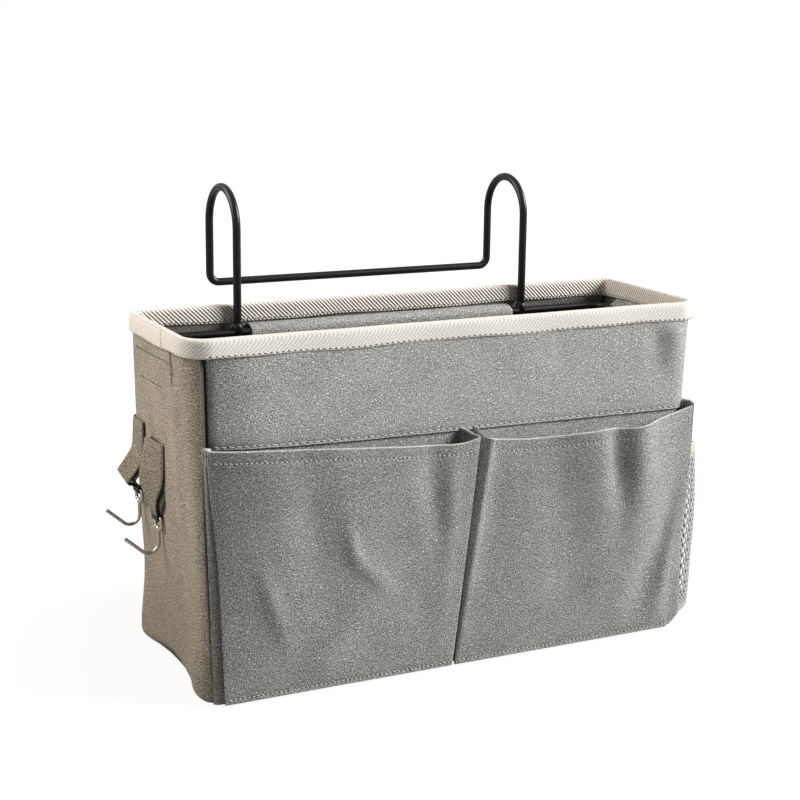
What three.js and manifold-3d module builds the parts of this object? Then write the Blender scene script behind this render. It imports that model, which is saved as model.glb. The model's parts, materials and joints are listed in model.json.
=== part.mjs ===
// Bedside caddy: a canvas box bag on a bent wire hanger, with two bellows pockets on its front,
// two small hooks on its left end and a net pocket on its right end.
// Millimetres, +Z up, +X to the right seen from the front, front at -Y.
// The origin is the middle of the base, on the face that the bag stands on.
import * as THREE from "three";
import { mergeGeometries, mergeVertices } from "three/addons/utils/BufferGeometryUtils.js";
import Module from "manifold-3d";

// Bag, measured over its outer canvas
const BAG_HEIGHT = 210;
const RIM_WIDTH = 336;
const RIM_DEPTH = 104;
const BASE_WIDTH = 322;
const BASE_DEPTH = 126;
const RIM_SETBACK = 3; // how far the middle of the rim lies behind the middle of the base
const FRONT_CORNER_FOOT = 8; // radius of the front's upright corners at the base
const FRONT_CORNER_RIM = 14; // and at the rim
const BACK_CORNER = 8;
const SEAM_INSET = 6; // seams that join the ends to the front and back, from the bag's corners

// Cloth, boards and the gap that sewn plies keep
const CANVAS = 0.9;
const LINING = 0.8;
const WALL_BOARD = 1.2;
const BASE_BOARD = 2;
const PLY_GAP = 0.3;
const BOARD_MARGIN = 2; // a board's end, from where the round corner starts

// Tape that binds the rim, and the canvas band sewn across the top of the front
const TAPE = 0.8;
const BINDING_HEIGHT = 10.5;
const BAND_HEIGHT = 65;

// Bellows pockets on the front
const POCKET_DROP = 2; // pocket tops below the band's lower edge
const POCKET_FOOT = 1.5; // pocket bottoms above the floor
const POCKET_SEAM = 5; // height of the seam that closes a pocket at its bottom
const POCKET_REACH = 13; // how far a pocket's top stands off the front
const POCKET_CORNER = 7; // a pocket's outer end, measured from the bag's corner
const POCKET_SPLIT = 1; // gap between the two pockets at the middle seam

// Wire of the hanger and of the frame in the rim
const WIRE_RADIUS = 2.5;
const LEG_SPACING = 202;
const HOOK_RISE = 70; // middle of the wire at a hook's top, above the rim
const HOOK_DEPTH = 48; // front leg to rear leg, middle to middle
const CROSS_RISE = 7; // middle of the rear cross bar, above the rim
const CROSS_BEND = 7;
const BAR_DROP = 17; // middle of the back bar, below the rim
const FRAME_BEND = 10;
const ARM_REACH = 82; // how far the side arms run forward of the back bar
const ARM_DROP = 12; // how far the arms' ends lie below the back bar
const WELD_RADIUS = 4.6;

// Sleeves that hold the frame inside the bag
const BACK_SLEEVE_INSET = 8; // end of the back sleeve, from the middle of a leg
const BACK_SLEEVE_HEIGHT = 10.7;
const SIDE_SLEEVE_HEIGHT = 26;
const SIDE_SLEEVE_LAP = 2; // how far a side sleeve runs past the end of its arm
const SLEEVE_EASE = 0.6; // room round the wire in a side sleeve

// Hook tabs on the left end
const STRAP = 1.2;
const TAB_WIDTH = 24;
const TAB_TIP_WIDTH = 6.8; // width of the strap where it is gathered into a hook's eye
const TAB_TOP_DROP = 72; // top of the front tab below the rim
const REAR_TAB_RISE = 8; // how much higher the rear tab is sewn
const TAB_SEWN_HEIGHT = 26;
const TAB_LOOP_HEIGHT = 18; // from the sewn part down to the wire in the loop
const TAB_PITCH = 35;
const TAB_BACK_EDGE = 2; // rear tab's edge, from the bag's back corner

// Hooks of plated wire
const HOOK_WIRE_RADIUS = 1.1;
const EYE_WIDTH = 10.5; // between the middles of the eye's side wires
const EYE_HEIGHT = 7;
const EYE_BEND = 1.6;
const EYE_END_GAP = 0.6; // between the wire's end in the eye and the shank
const SHANK = 9;
const HOOK_BEND = 6;
const HOOK_TURN = 131; // degrees from straight down to the tip's direction
const HOOK_TIP = 14;

// Net pocket on the right end
const NET = 1;
const NET_WIDTH = 96;
const NET_HEIGHT = 112;
const NET_FOOT = 4; // foot of the net above the floor
const NET_REACH = 14; // how far the net's top stands off the end
const NET_FOOT_REACH = 2;
const NET_CELL_WIDTH = 10;
const NET_CELL_HEIGHT = 10;
const NET_STRAND = 1.5;
const NET_MARGIN = 1.5; // plain edge round the cells
const NET_TAPE_HEIGHT = 9;

// Facets
const WIRE_SIDES = 12;
const HOOK_WIRE_SIDES = 8;
const ARCH_STEPS = 12;
const BEND_STEPS = 4;
const CORNER_STEPS = 5;
const SPHERE_RINGS = 8;
const MERGE_DISTANCE = 1e-4;
const OVERCUT = 2; // how far a cutting body runs past what it cuts

const canvas = new THREE.MeshStandardMaterial({ color: 0x99958c, roughness: 0.95, metalness: 0 });
const lining = new THREE.MeshStandardMaterial({ color: 0x8d8980, roughness: 0.95, metalness: 0 });
const board = new THREE.MeshStandardMaterial({ color: 0xb09a78, roughness: 0.9, metalness: 0 });
const tape = new THREE.MeshStandardMaterial({ color: 0xe6dfcf, roughness: 0.9, metalness: 0 });
const blackWire = new THREE.MeshStandardMaterial({ color: 0x141415, roughness: 0.45, metalness: 0 });
const platedSteel = new THREE.MeshStandardMaterial({ color: 0xc9c8c4, roughness: 0.2, metalness: 1 });
const netYarn = new THREE.MeshStandardMaterial({ color: 0xc2c1bd, roughness: 0.8, metalness: 0 });

const wasm = await Module();
wasm.setup();

const caddy = new THREE.Group();

function addPiece(name, geometry, material) {
  const mesh = new THREE.Mesh(geometry, material);
  mesh.name = name;
  caddy.add(mesh);
}

// Booleans

function solidOf(geometry) {
  const bare = geometry.clone();
  bare.deleteAttribute("normal");
  bare.deleteAttribute("uv");
  const merged = mergeVertices(bare, MERGE_DISTANCE);
  const mesh = new wasm.Mesh({
    numProp: 3,
    vertProperties: merged.attributes.position.array,
    triVerts: new Uint32Array(merged.index.array),
  });
  return new wasm.Manifold(mesh);
}

function geometryOf(solid) {
  const { vertProperties, triVerts } = solid.getMesh();
  const geometry = new THREE.BufferGeometry();
  geometry.setAttribute("position", new THREE.BufferAttribute(vertProperties, 3));
  geometry.setIndex(new THREE.BufferAttribute(triVerts, 1));
  geometry.computeVertexNormals();
  return geometry;
}

function cut(body, ...tools) {
  const rest = tools.reduce((left, tool) => left.subtract(solidOf(tool)), solidOf(body));
  return geometryOf(rest);
}

function common(first, second) {
  return geometryOf(solidOf(first).intersect(solidOf(second)));
}

// The bag's four leaning walls: each gives its place at height z, moved inwards by an inset.

const shareAt = (z) => z / BAG_HEIGHT;
const halfWidthAt = (z) => THREE.MathUtils.lerp(BASE_WIDTH, RIM_WIDTH, shareAt(z)) / 2;
const halfDepthAt = (z) => THREE.MathUtils.lerp(BASE_DEPTH, RIM_DEPTH, shareAt(z)) / 2;
const middleAt = (z) => RIM_SETBACK * shareAt(z);
const left = (inset) => (z) => inset - halfWidthAt(z);
const right = (inset) => (z) => halfWidthAt(z) - inset;
const front = (inset) => (z) => middleAt(z) - halfDepthAt(z) + inset;
const back = (inset) => (z) => middleAt(z) + halfDepthAt(z) - inset;
const level = (value) => () => value;

function meshOf(points, faces) {
  const geometry = new THREE.BufferGeometry();
  geometry.setAttribute("position", new THREE.Float32BufferAttribute(points.flat(), 3));
  geometry.setIndex(faces);
  geometry.computeVertexNormals();
  return geometry;
}

// A block between two heights, whose sides follow the walls' lean.
function block(low, high, [x0, x1], [y0, y1]) {
  const corners = [low, high].flatMap((z) => [
    [x0(z), y0(z), z],
    [x1(z), y0(z), z],
    [x1(z), y1(z), z],
    [x0(z), y1(z), z],
  ]);
  const bottom = [0, 2, 1, 0, 3, 2];
  const top = [4, 5, 6, 4, 6, 7];
  const sides = [0, 1, 2, 3].flatMap((i) => {
    const next = (i + 1) % 4;
    return [i, next, next + 4, i, next + 4, i + 4];
  });
  return meshOf(corners, [...bottom, ...top, ...sides]);
}

const QUARTER = Math.PI / 2;
const frontCornerAt = (z) => THREE.MathUtils.lerp(FRONT_CORNER_FOOT, FRONT_CORNER_RIM, shareAt(z));

// The bag's outline at height z with its round corners, moved inwards by an inset for front, back and ends.
function section(z, inset) {
  const frontCorner = { y: front, radius: frontCornerAt(z), depth: inset.front };
  const backCorner = { y: back, radius: BACK_CORNER, depth: inset.back };
  const corners = [
    { x: right, ...frontCorner },
    { x: right, ...backCorner },
    { x: left, ...backCorner },
    { x: left, ...frontCorner },
  ];
  return corners.flatMap(({ x, y, radius, depth }, corner) =>
    Array.from({ length: CORNER_STEPS + 1 }, (_, step) => {
      const angle = QUARTER * (corner - 1 + step / CORNER_STEPS);
      return [
        x(radius)(z) + (radius - inset.end) * Math.cos(angle),
        y(radius)(z) + (radius - depth) * Math.sin(angle),
        z,
      ];
    }),
  );
}

// A solid between two heights that follows the walls and the round corners.
function core(low, high, inset) {
  const points = [...section(low, inset), ...section(high, inset)];
  const count = points.length / 2;
  const faces = [];
  for (let i = 0; i < count; i += 1) {
    const next = (i + 1) % count;
    faces.push(i, next, next + count, i, next + count, i + count);
  }
  for (let i = 1; i < count - 1; i += 1) {
    faces.push(0, i + 1, i, count, count + i, count + i + 1);
  }
  return meshOf(points, faces);
}

// One ply round the bag, between an outer and an inner inset.
function ply(low, high, outer, inner) {
  return cut(core(low, high, outer), core(low - OVERCUT, high + OVERCUT, inner));
}

// Splits a ply at the four upright seams.
function sewnPanels(sheet) {
  const part = (across, along) =>
    common(sheet, block(-OVERCUT, BAG_HEIGHT + OVERCUT, across, along));
  const between = [left(SEAM_INSET), right(SEAM_INSET)];
  const depth = [front(-OVERCUT * 2), back(-OVERCUT * 2)];
  const endSeam = SEAM_INSET - PLY_GAP;
  return {
    front: part(between, [depth[0], middleAt]),
    back: part(between, [middleAt, depth[1]]),
    left: part([left(-OVERCUT * 2), left(endSeam)], depth),
    right: part([right(endSeam), right(-OVERCUT * 2)], depth),
  };
}

// A flat outline in X and Z, given a thickness along Y from y0 to y1.
function slabAlongY(shape, y0, y1) {
  const geometry = new THREE.ExtrudeGeometry(shape, {
    depth: y1 - y0,
    bevelEnabled: false,
    curveSegments: BEND_STEPS * 2,
  });
  return geometry.rotateX(Math.PI / 2).translate(0, y1, 0);
}

// A flat outline in Y and Z, given a thickness along X from x0 to x1.
function slabAlongX(shape, x0, x1) {
  const geometry = new THREE.ExtrudeGeometry(shape, { depth: x1 - x0, bevelEnabled: false });
  return geometry.rotateX(Math.PI / 2).rotateZ(Math.PI / 2).translate(x0, 0, 0);
}

function outline(points) {
  return new THREE.Shape(points.map(([x, y]) => new THREE.Vector2(x, y)));
}

// Wires: a route of points, with one ring of the tube at each point.

class Route extends THREE.Curve {
  constructor(points) {
    super();
    this.points = points;
  }

  getPointAt(share, target = new THREE.Vector3()) {
    return target.copy(this.points[Math.round(share * (this.points.length - 1))]);
  }

  getTangentAt(share, target = new THREE.Vector3()) {
    const last = this.points.length - 1;
    const index = Math.round(share * last);
    const before = this.points[Math.max(index - 1, 0)];
    const after = this.points[Math.min(index + 1, last)];
    return target.subVectors(after, before).normalize();
  }
}

function wireAlong(points, radius, sides) {
  const section = Array.from({ length: sides }, (_, i) => {
    const angle = (2 * Math.PI * (i + 0.5)) / sides;
    return [radius * Math.cos(angle), radius * Math.sin(angle)];
  });
  return new THREE.ExtrudeGeometry(outline(section), {
    steps: points.length - 1,
    bevelEnabled: false,
    extrudePath: new Route(points),
  });
}

// Points of an arc about a centre, from one radius vector to another at right angles to it.
function bend(centre, from, to, turn, steps) {
  return Array.from({ length: steps + 1 }, (_, i) => {
    const angle = (turn * i) / steps;
    return centre
      .clone()
      .addScaledVector(from, Math.cos(angle))
      .addScaledVector(to, Math.sin(angle));
  });
}

const vector = (x, y, z) => new THREE.Vector3(x, y, z);

// Insets of the plies, from the outer canvas inwards
const boardFace = CANVAS + PLY_GAP;
const stiffLiningFace = boardFace + WALL_BOARD + PLY_GAP; // front and back walls hold a board
const stiffLiningInside = stiffLiningFace + LINING;
const softLiningFace = CANVAS + PLY_GAP; // the ends hold none
const softLiningInside = softLiningFace + LINING;
const bandFace = -(PLY_GAP + CANVAS);
const boardEnd = Math.max(FRONT_CORNER_FOOT, FRONT_CORNER_RIM, BACK_CORNER) + BOARD_MARGIN;
const even = (inset) => ({ front: inset, back: inset, end: inset });
const liningFace = { front: stiffLiningFace, back: stiffLiningFace, end: softLiningFace };
const liningInside = { front: stiffLiningInside, back: stiffLiningInside, end: softLiningInside };

// Heights of the plies
const wallFoot = CANVAS + PLY_GAP;
const wallTop = BAG_HEIGHT - TAPE - PLY_GAP;
const baseLiningFoot = wallFoot + BASE_BOARD + PLY_GAP;
const liningFoot = baseLiningFoot + LINING + PLY_GAP;
const bindingFoot = BAG_HEIGHT - BINDING_HEIGHT;
const boardTop = bindingFoot - PLY_GAP;
const bandFoot = BAG_HEIGHT - BAND_HEIGHT;

// Outer canvas: the base carries the four walls, and the ends wrap round the corners to the seams.

function addOuterCanvas() {
  const walls = sewnPanels(ply(wallFoot, wallTop, even(0), even(CANVAS)));
  const band = sewnPanels(ply(bandFoot, wallTop, even(bandFace), even(-PLY_GAP)));
  addPiece("bottom_panel", core(0, CANVAS, even(0)), canvas);
  for (const [side, panel] of Object.entries(walls)) {
    addPiece(`${side}_panel`, panel, canvas);
  }
  addPiece("upper_band", band.front, canvas);
}

function addBoards() {
  const across = [left(boardEnd), right(boardEnd)];
  const frontDepth = [front(boardFace), front(boardFace + WALL_BOARD)];
  const backDepth = [back(boardFace + WALL_BOARD), back(boardFace)];
  addPiece("front_board", block(wallFoot, boardTop, across, frontDepth), board);
  addPiece("back_board", block(wallFoot, boardTop, across, backDepth), board);
  addPiece("base_board", core(wallFoot, wallFoot + BASE_BOARD, liningFace), board);
}

function addLining() {
  const walls = sewnPanels(ply(liningFoot, wallTop, liningFace, liningInside));
  addPiece("lining_bottom", core(baseLiningFoot, baseLiningFoot + LINING, liningFace), lining);
  for (const [side, panel] of Object.entries(walls)) {
    addPiece(`lining_${side}`, panel, lining);
  }
}

// Rim binding: a ring of tape folded over the top edges of all the walls.

const tapeInset = (inset, depth) => ({
  front: inset.front + depth,
  back: inset.back + depth,
  end: inset.end + depth,
});
const bindingOutside = even(bandFace - PLY_GAP - TAPE);
const bindingInside = tapeInset(liningInside, PLY_GAP + TAPE);

function addBinding() {
  const grooveTop = wallTop + PLY_GAP;
  const low = bindingFoot - OVERCUT;
  const groove = ply(low, grooveTop, tapeInset(bindingOutside, TAPE), tapeInset(bindingInside, -TAPE));
  const ring = ply(bindingFoot, BAG_HEIGHT, bindingOutside, bindingInside);
  addPiece("rim_binding", cut(ring, groove), tape);
}

// Bellows pockets: a face that leans away from the front, with a gusset at each end.

const pocketTop = bandFoot - POCKET_DROP;
const pocketRise = pocketTop - POCKET_FOOT;
const pocketFootReach = PLY_GAP + CANVAS;

function pocketFace(inset) {
  return (z) => {
    const reach = THREE.MathUtils.lerp(pocketFootReach, POCKET_REACH, (z - POCKET_FOOT) / pocketRise);
    return front(inset - reach)(z);
  };
}

function addPocket(name, outerEnd, innerEnd) {
  const body = block(POCKET_FOOT, pocketTop, [outerEnd(0), innerEnd(0)], [pocketFace(0), front(-PLY_GAP)]);
  const inside = block(
    POCKET_FOOT + POCKET_SEAM,
    pocketTop + OVERCUT,
    [outerEnd(CANVAS), innerEnd(CANVAS)],
    [pocketFace(CANVAS), front(OVERCUT)],
  );
  addPiece(name, cut(body, inside), canvas);
}

function addPockets() {
  const half = POCKET_SPLIT / 2;
  addPocket("left_pocket", (wall) => left(POCKET_CORNER + wall), (wall) => level(-half - wall));
  addPocket("right_pocket", (wall) => level(half + wall), (wall) => right(POCKET_CORNER + wall));
}

// Hanger and frame: the legs stand on the back bar, just inside the binding.

const barHeight = BAG_HEIGHT - BAR_DROP;
const barY = back(bindingInside.back + PLY_GAP)(BAG_HEIGHT) - WIRE_RADIUS;
const legX = LEG_SPACING / 2;
const legFoot = barHeight + WIRE_RADIUS + PLY_GAP;
const archRadius = HOOK_DEPTH / 2;
const archHeight = BAG_HEIGHT + HOOK_RISE - archRadius;
const crossHeight = BAG_HEIGHT + CROSS_RISE;
const armInset = softLiningInside + PLY_GAP + SLEEVE_EASE + WIRE_RADIUS;

// One hook, from the foot of its leg, over its arch and into the cross bar, on side -1 or +1.
function hookPoints(side) {
  const x = side * legX;
  const rearY = barY + HOOK_DEPTH;
  const arch = bend(
    vector(x, barY + archRadius, archHeight),
    vector(0, -archRadius, 0),
    vector(0, 0, archRadius),
    Math.PI,
    ARCH_STEPS,
  );
  const corner = bend(
    vector(x - side * CROSS_BEND, rearY, crossHeight + CROSS_BEND),
    vector(side * CROSS_BEND, 0, 0),
    vector(0, 0, -CROSS_BEND),
    QUARTER,
    BEND_STEPS,
  );
  return [vector(x, barY, legFoot), ...arch, ...corner];
}

function addHanger() {
  const route = [...hookPoints(-1), ...hookPoints(1).reverse()];
  addPiece("hanger", wireAlong(route, WIRE_RADIUS, WIRE_SIDES), blackWire);
}

// One side arm of the frame, from its free end back to the bend into the bar.
function armPoints(side) {
  const wall = side < 0 ? left(armInset) : right(armInset);
  const x = wall(barHeight);
  const endHeight = barHeight - ARM_DROP;
  const corner = bend(
    vector(x - side * FRAME_BEND, barY - FRAME_BEND, barHeight),
    vector(side * FRAME_BEND, 0, 0),
    vector(0, FRAME_BEND, 0),
    QUARTER,
    BEND_STEPS,
  );
  return [vector(wall(endHeight), barY - ARM_REACH, endHeight), ...corner];
}

function addFrame() {
  const route = [...armPoints(-1), ...armPoints(1).reverse()];
  addPiece("rim_frame", wireAlong(route, WIRE_RADIUS, WIRE_SIDES), blackWire);
}

// A bead of weld round the foot of each leg, shaped to the bar and the leg.
function addWelds() {
  const fit = WIRE_RADIUS + PLY_GAP;
  for (const [name, x] of [["left_weld", -legX], ["right_weld", legX]]) {
    const foot = vector(x, barY, barHeight);
    const reach = WELD_RADIUS + OVERCUT;
    const along = vector(reach, 0, 0);
    const up = vector(0, 0, reach);
    const bead = new THREE.SphereGeometry(WELD_RADIUS, WIRE_SIDES, SPHERE_RINGS).translate(...foot);
    const bar = wireAlong([foot.clone().sub(along), foot.clone().add(along)], fit, WIRE_SIDES);
    const leg = wireAlong([foot, foot.clone().add(up)], fit, WIRE_SIDES);
    addPiece(name, cut(bead, bar, leg), blackWire);
  }
}

// Sleeves: channels of canvas sewn to the lining, with the wire running through them.

function addBackSleeve() {
  const end = legX - BACK_SLEEVE_INSET;
  const wireFront = barY - WIRE_RADIUS - PLY_GAP;
  const top = barHeight + WIRE_RADIUS + PLY_GAP + CANVAS;
  const across = [level(-end), level(end)];
  const pastEnds = [level(-end - OVERCUT), level(end + OVERCUT)];
  const body = block(
    top - BACK_SLEEVE_HEIGHT,
    top,
    across,
    [level(wireFront - CANVAS), back(stiffLiningInside + PLY_GAP)],
  );
  const channel = block(
    top - BACK_SLEEVE_HEIGHT + CANVAS,
    top - CANVAS,
    pastEnds,
    [level(wireFront), back(stiffLiningInside - OVERCUT)],
  );
  addPiece("back_sleeve", cut(body, channel), canvas);
}

function addSideSleeve(name, wall) {
  const top = bindingFoot - PLY_GAP;
  const foot = top - SIDE_SLEEVE_HEIGHT;
  const frontEnd = barY - ARM_REACH - SIDE_SLEEVE_LAP;
  const rearEnd = barY - FRAME_BEND - SIDE_SLEEVE_LAP;
  const seat = softLiningInside + PLY_GAP;
  const inside = armInset + WIRE_RADIUS + SLEEVE_EASE;
  const sorted = (a, b) => (a(0) < b(0) ? [a, b] : [b, a]);
  const body = block(
    foot,
    top,
    sorted(wall(seat), wall(inside + CANVAS)),
    [level(frontEnd), level(rearEnd)],
  );
  const channel = block(
    foot + CANVAS,
    top - CANVAS,
    sorted(wall(softLiningInside - OVERCUT), wall(inside)),
    [level(frontEnd - OVERCUT), level(rearEnd + OVERCUT)],
  );
  addPiece(name, cut(body, channel), canvas);
}

// Hook tabs: a strap doubled on itself, sewn to the left end, with a loop that holds a hook's eye.

const loopRadius = HOOK_WIRE_RADIUS + PLY_GAP;
const strapOuter = loopRadius + STRAP;
const frontTabTop = BAG_HEIGHT - TAB_TOP_DROP;
const rearTabY = back(TAB_BACK_EDGE + TAB_WIDTH / 2)(frontTabTop);

// Heights of a tab and of the wire that lies in its loop, and the places of both.
function tabAt(name, y, top) {
  const sewnFoot = top - TAB_SEWN_HEIGHT;
  const eyeTop = sewnFoot - TAB_LOOP_HEIGHT;
  return { name, y, top, sewnFoot, eyeTop, eyeX: left(-PLY_GAP - strapOuter)(eyeTop) };
}

const tabs = [
  tabAt("front_hook", rearTabY - TAB_PITCH, frontTabTop),
  tabAt("rear_hook", rearTabY, frontTabTop + REAR_TAB_RISE),
];

function tabProfile({ top, sewnFoot, eyeTop, eyeX }) {
  const inner = left(-PLY_GAP);
  const outer = left(-PLY_GAP - 2 * STRAP);
  const profile = outline([
    [inner(top), top],
    [outer(top), top],
    [outer(sewnFoot), sewnFoot],
    [eyeX - strapOuter, eyeTop],
  ]);
  profile.absarc(eyeX, eyeTop, strapOuter, Math.PI, 2 * Math.PI, false);
  profile.lineTo(inner(sewnFoot), sewnFoot);
  const loop = new THREE.Path();
  loop.moveTo(left(-PLY_GAP - STRAP)(sewnFoot), sewnFoot - STRAP);
  loop.lineTo(eyeX - loopRadius, eyeTop);
  loop.absarc(eyeX, eyeTop, loopRadius, Math.PI, 2 * Math.PI, false);
  profile.holes.push(loop);
  return profile;
}

function addTab(tab) {
  const { name, y, top, sewnFoot, eyeTop, eyeX } = tab;
  const foot = eyeTop - strapOuter - OVERCUT;
  const half = TAB_WIDTH / 2;
  const tipHalf = TAB_TIP_WIDTH / 2;
  const gathered = outline([
    [y - half, top + OVERCUT],
    [y - half, sewnFoot],
    [y - tipHalf, eyeTop],
    [y - tipHalf, foot],
    [y + tipHalf, foot],
    [y + tipHalf, eyeTop],
    [y + half, sewnFoot],
    [y + half, top + OVERCUT],
  ]);
  const doubled = slabAlongY(tabProfile(tab), y - half - OVERCUT, y + half + OVERCUT);
  const spread = slabAlongX(gathered, eyeX - 2 * strapOuter, eyeX + 2 * strapOuter);
  addPiece(`${name}_tab`, common(doubled, spread), canvas);
}

// A hook is one bent wire: its tip, bend and shank, then an eye that hangs in the strap's loop.

function hookRoute({ y, eyeTop, eyeX }) {
  const turn = THREE.MathUtils.degToRad(HOOK_TURN);
  const eyeFoot = eyeTop - EYE_HEIGHT;
  const shankFoot = eyeFoot - SHANK;
  const centre = vector(eyeX - HOOK_BEND, y, shankFoot);
  const curve = bend(centre, vector(HOOK_BEND, 0, 0), vector(0, 0, -HOOK_BEND), turn, 2 * BEND_STEPS);
  const heading = vector(-Math.sin(turn), 0, -Math.cos(turn));
  const tip = curve.at(-1).clone().addScaledVector(heading, HOOK_TIP);
  const side = EYE_WIDTH / 2 - EYE_BEND;
  const across = vector(0, EYE_BEND, 0);
  const up = vector(0, 0, EYE_BEND);
  const along = across.clone().negate();
  const down = up.clone().negate();
  const corner = (offset, height, from, to) =>
    bend(vector(eyeX, y + offset, height), from, to, QUARTER, BEND_STEPS);
  return [
    tip,
    ...curve.reverse(),
    ...corner(EYE_BEND, eyeFoot - EYE_BEND, along, up),
    ...corner(side, eyeFoot + EYE_BEND, down, across),
    ...corner(side, eyeTop - EYE_BEND, across, up),
    ...corner(-side, eyeTop - EYE_BEND, up, along),
    ...corner(-side, eyeFoot + EYE_BEND, along, down),
    vector(eyeX, y - HOOK_WIRE_RADIUS - EYE_END_GAP, eyeFoot),
  ];
}

function addHook(tab) {
  addPiece(tab.name, wireAlong(hookRoute(tab), HOOK_WIRE_RADIUS, HOOK_WIRE_SIDES), platedSteel);
}

// Net pocket: a flat net that leans away from the right end, two net gussets and a taped top edge.

const netFootX = right(-PLY_GAP - NET_FOOT_REACH)(NET_FOOT);
const netTopX = right(-NET_REACH)(NET_FOOT + NET_HEIGHT);
const netLean = Math.atan2(netTopX - netFootX, NET_HEIGHT);
const netLength = Math.hypot(netTopX - netFootX, NET_HEIGHT);
const netMiddle = middleAt(NET_FOOT + NET_HEIGHT / 2);

// Diamond cells of an upright net, as prisms along X: keep says which cells lie inside the net.
function diamondCells(width, height, keep) {
  const a = NET_CELL_WIDTH / 2;
  const b = NET_CELL_HEIGHT / 2;
  const shrink = 1 - (NET_STRAND / 2) * Math.hypot(1 / a, 1 / b);
  const cells = [];
  for (let row = 1; row * b < height; row += 1) {
    const offset = row % 2 ? 0 : a;
    const last = Math.ceil(width / NET_CELL_WIDTH);
    for (let column = -last; column <= last; column += 1) {
      const x = column * NET_CELL_WIDTH + offset;
      const y = row * b;
      if (!keep(x, y, a * shrink, b * shrink)) continue;
      const cell = outline([
        [x + a * shrink, y],
        [x, y + b * shrink],
        [x - a * shrink, y],
        [x, y - b * shrink],
      ]);
      cells.push(slabAlongX(cell, -OVERCUT, NET + OVERCUT));
    }
  }
  return mergeGeometries(cells);
}

// Tips an upright piece outwards about the foot of the net, and sets it there.
function leanNet(geometry) {
  return geometry.rotateY(netLean).translate(netFootX, netMiddle, NET_FOOT);
}

function addNetFace() {
  const half = NET_WIDTH / 2;
  const sheet = outline([
    [-half, 0],
    [half, 0],
    [half, netLength],
    [-half, netLength],
  ]);
  const room = half - NET_MARGIN;
  const cellTop = netLength - NET_TAPE_HEIGHT;
  const keep = (x, y, a, b) => Math.abs(x) + a < room && y - b > NET_MARGIN && y + b < cellTop;
  const net = cut(slabAlongX(sheet, 0, NET), diamondCells(NET_WIDTH, netLength, keep));
  addPiece("net_face", leanNet(net), netYarn);
}

function addNetTape() {
  const half = NET_WIDTH / 2;
  const foot = netLength - NET_TAPE_HEIGHT;
  const slotTop = netLength + PLY_GAP;
  const inner = -PLY_GAP;
  const outer = NET + PLY_GAP;
  const channel = outline([
    [inner - TAPE, foot],
    [inner, foot],
    [inner, slotTop],
    [outer, slotTop],
    [outer, foot],
    [outer + TAPE, foot],
    [outer + TAPE, slotTop + TAPE],
    [inner - TAPE, slotTop + TAPE],
  ]);
  addPiece("net_tape", leanNet(slabAlongY(channel, -half, half)), tape);
}

function addNetGussets() {
  const top = NET_FOOT + (netLength - NET_TAPE_HEIGHT) * Math.cos(netLean) - PLY_GAP;
  const faceX = (z) => netFootX + (z - NET_FOOT) * Math.tan(netLean) - PLY_GAP;
  const wall = right(-PLY_GAP);
  const sheet = outline([
    [wall(NET_FOOT), NET_FOOT],
    [faceX(NET_FOOT), NET_FOOT],
    [faceX(top), top],
    [wall(top), top],
  ]);
  const half = NET_WIDTH / 2;
  const ends = { net_front_gusset: netMiddle - half, net_rear_gusset: netMiddle + half - NET };
  for (const [name, y] of Object.entries(ends)) {
    addPiece(name, slabAlongY(sheet, y, y + NET), netYarn);
  }
}

addOuterCanvas();
addBoards();
addLining();
addBinding();
addPockets();
addHanger();
addFrame();
addWelds();
addBackSleeve();
addSideSleeve("left_sleeve", left);
addSideSleeve("right_sleeve", right);
tabs.forEach(addTab);
tabs.forEach(addHook);
addNetFace();
addNetTape();
addNetGussets();

export default caddy;
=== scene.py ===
import collections
import functools
import json
import math

import bmesh
import bpy
from mathutils import Matrix, Vector


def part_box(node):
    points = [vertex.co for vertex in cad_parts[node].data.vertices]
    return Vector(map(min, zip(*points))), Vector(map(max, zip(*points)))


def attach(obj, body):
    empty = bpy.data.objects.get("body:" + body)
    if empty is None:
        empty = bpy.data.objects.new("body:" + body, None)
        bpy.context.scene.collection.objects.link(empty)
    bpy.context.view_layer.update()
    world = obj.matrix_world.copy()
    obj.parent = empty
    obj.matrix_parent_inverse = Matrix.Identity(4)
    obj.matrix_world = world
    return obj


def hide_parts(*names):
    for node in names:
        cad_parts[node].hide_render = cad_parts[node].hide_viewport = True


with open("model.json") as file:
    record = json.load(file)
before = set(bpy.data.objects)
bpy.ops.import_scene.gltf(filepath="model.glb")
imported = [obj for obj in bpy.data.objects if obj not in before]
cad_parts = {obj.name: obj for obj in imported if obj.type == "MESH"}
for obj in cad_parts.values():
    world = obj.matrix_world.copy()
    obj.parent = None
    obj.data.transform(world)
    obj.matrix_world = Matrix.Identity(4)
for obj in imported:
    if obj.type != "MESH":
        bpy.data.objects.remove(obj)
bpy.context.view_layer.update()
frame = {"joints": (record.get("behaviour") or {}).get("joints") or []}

# A grey canvas bedside caddy. Sizes are in millimetres and become metres where a mesh is made.
MM = 0.001


def node_box(node):
    """A CAD node's lowest and highest corners, in millimetres."""
    return [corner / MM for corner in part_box(node)]


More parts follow.
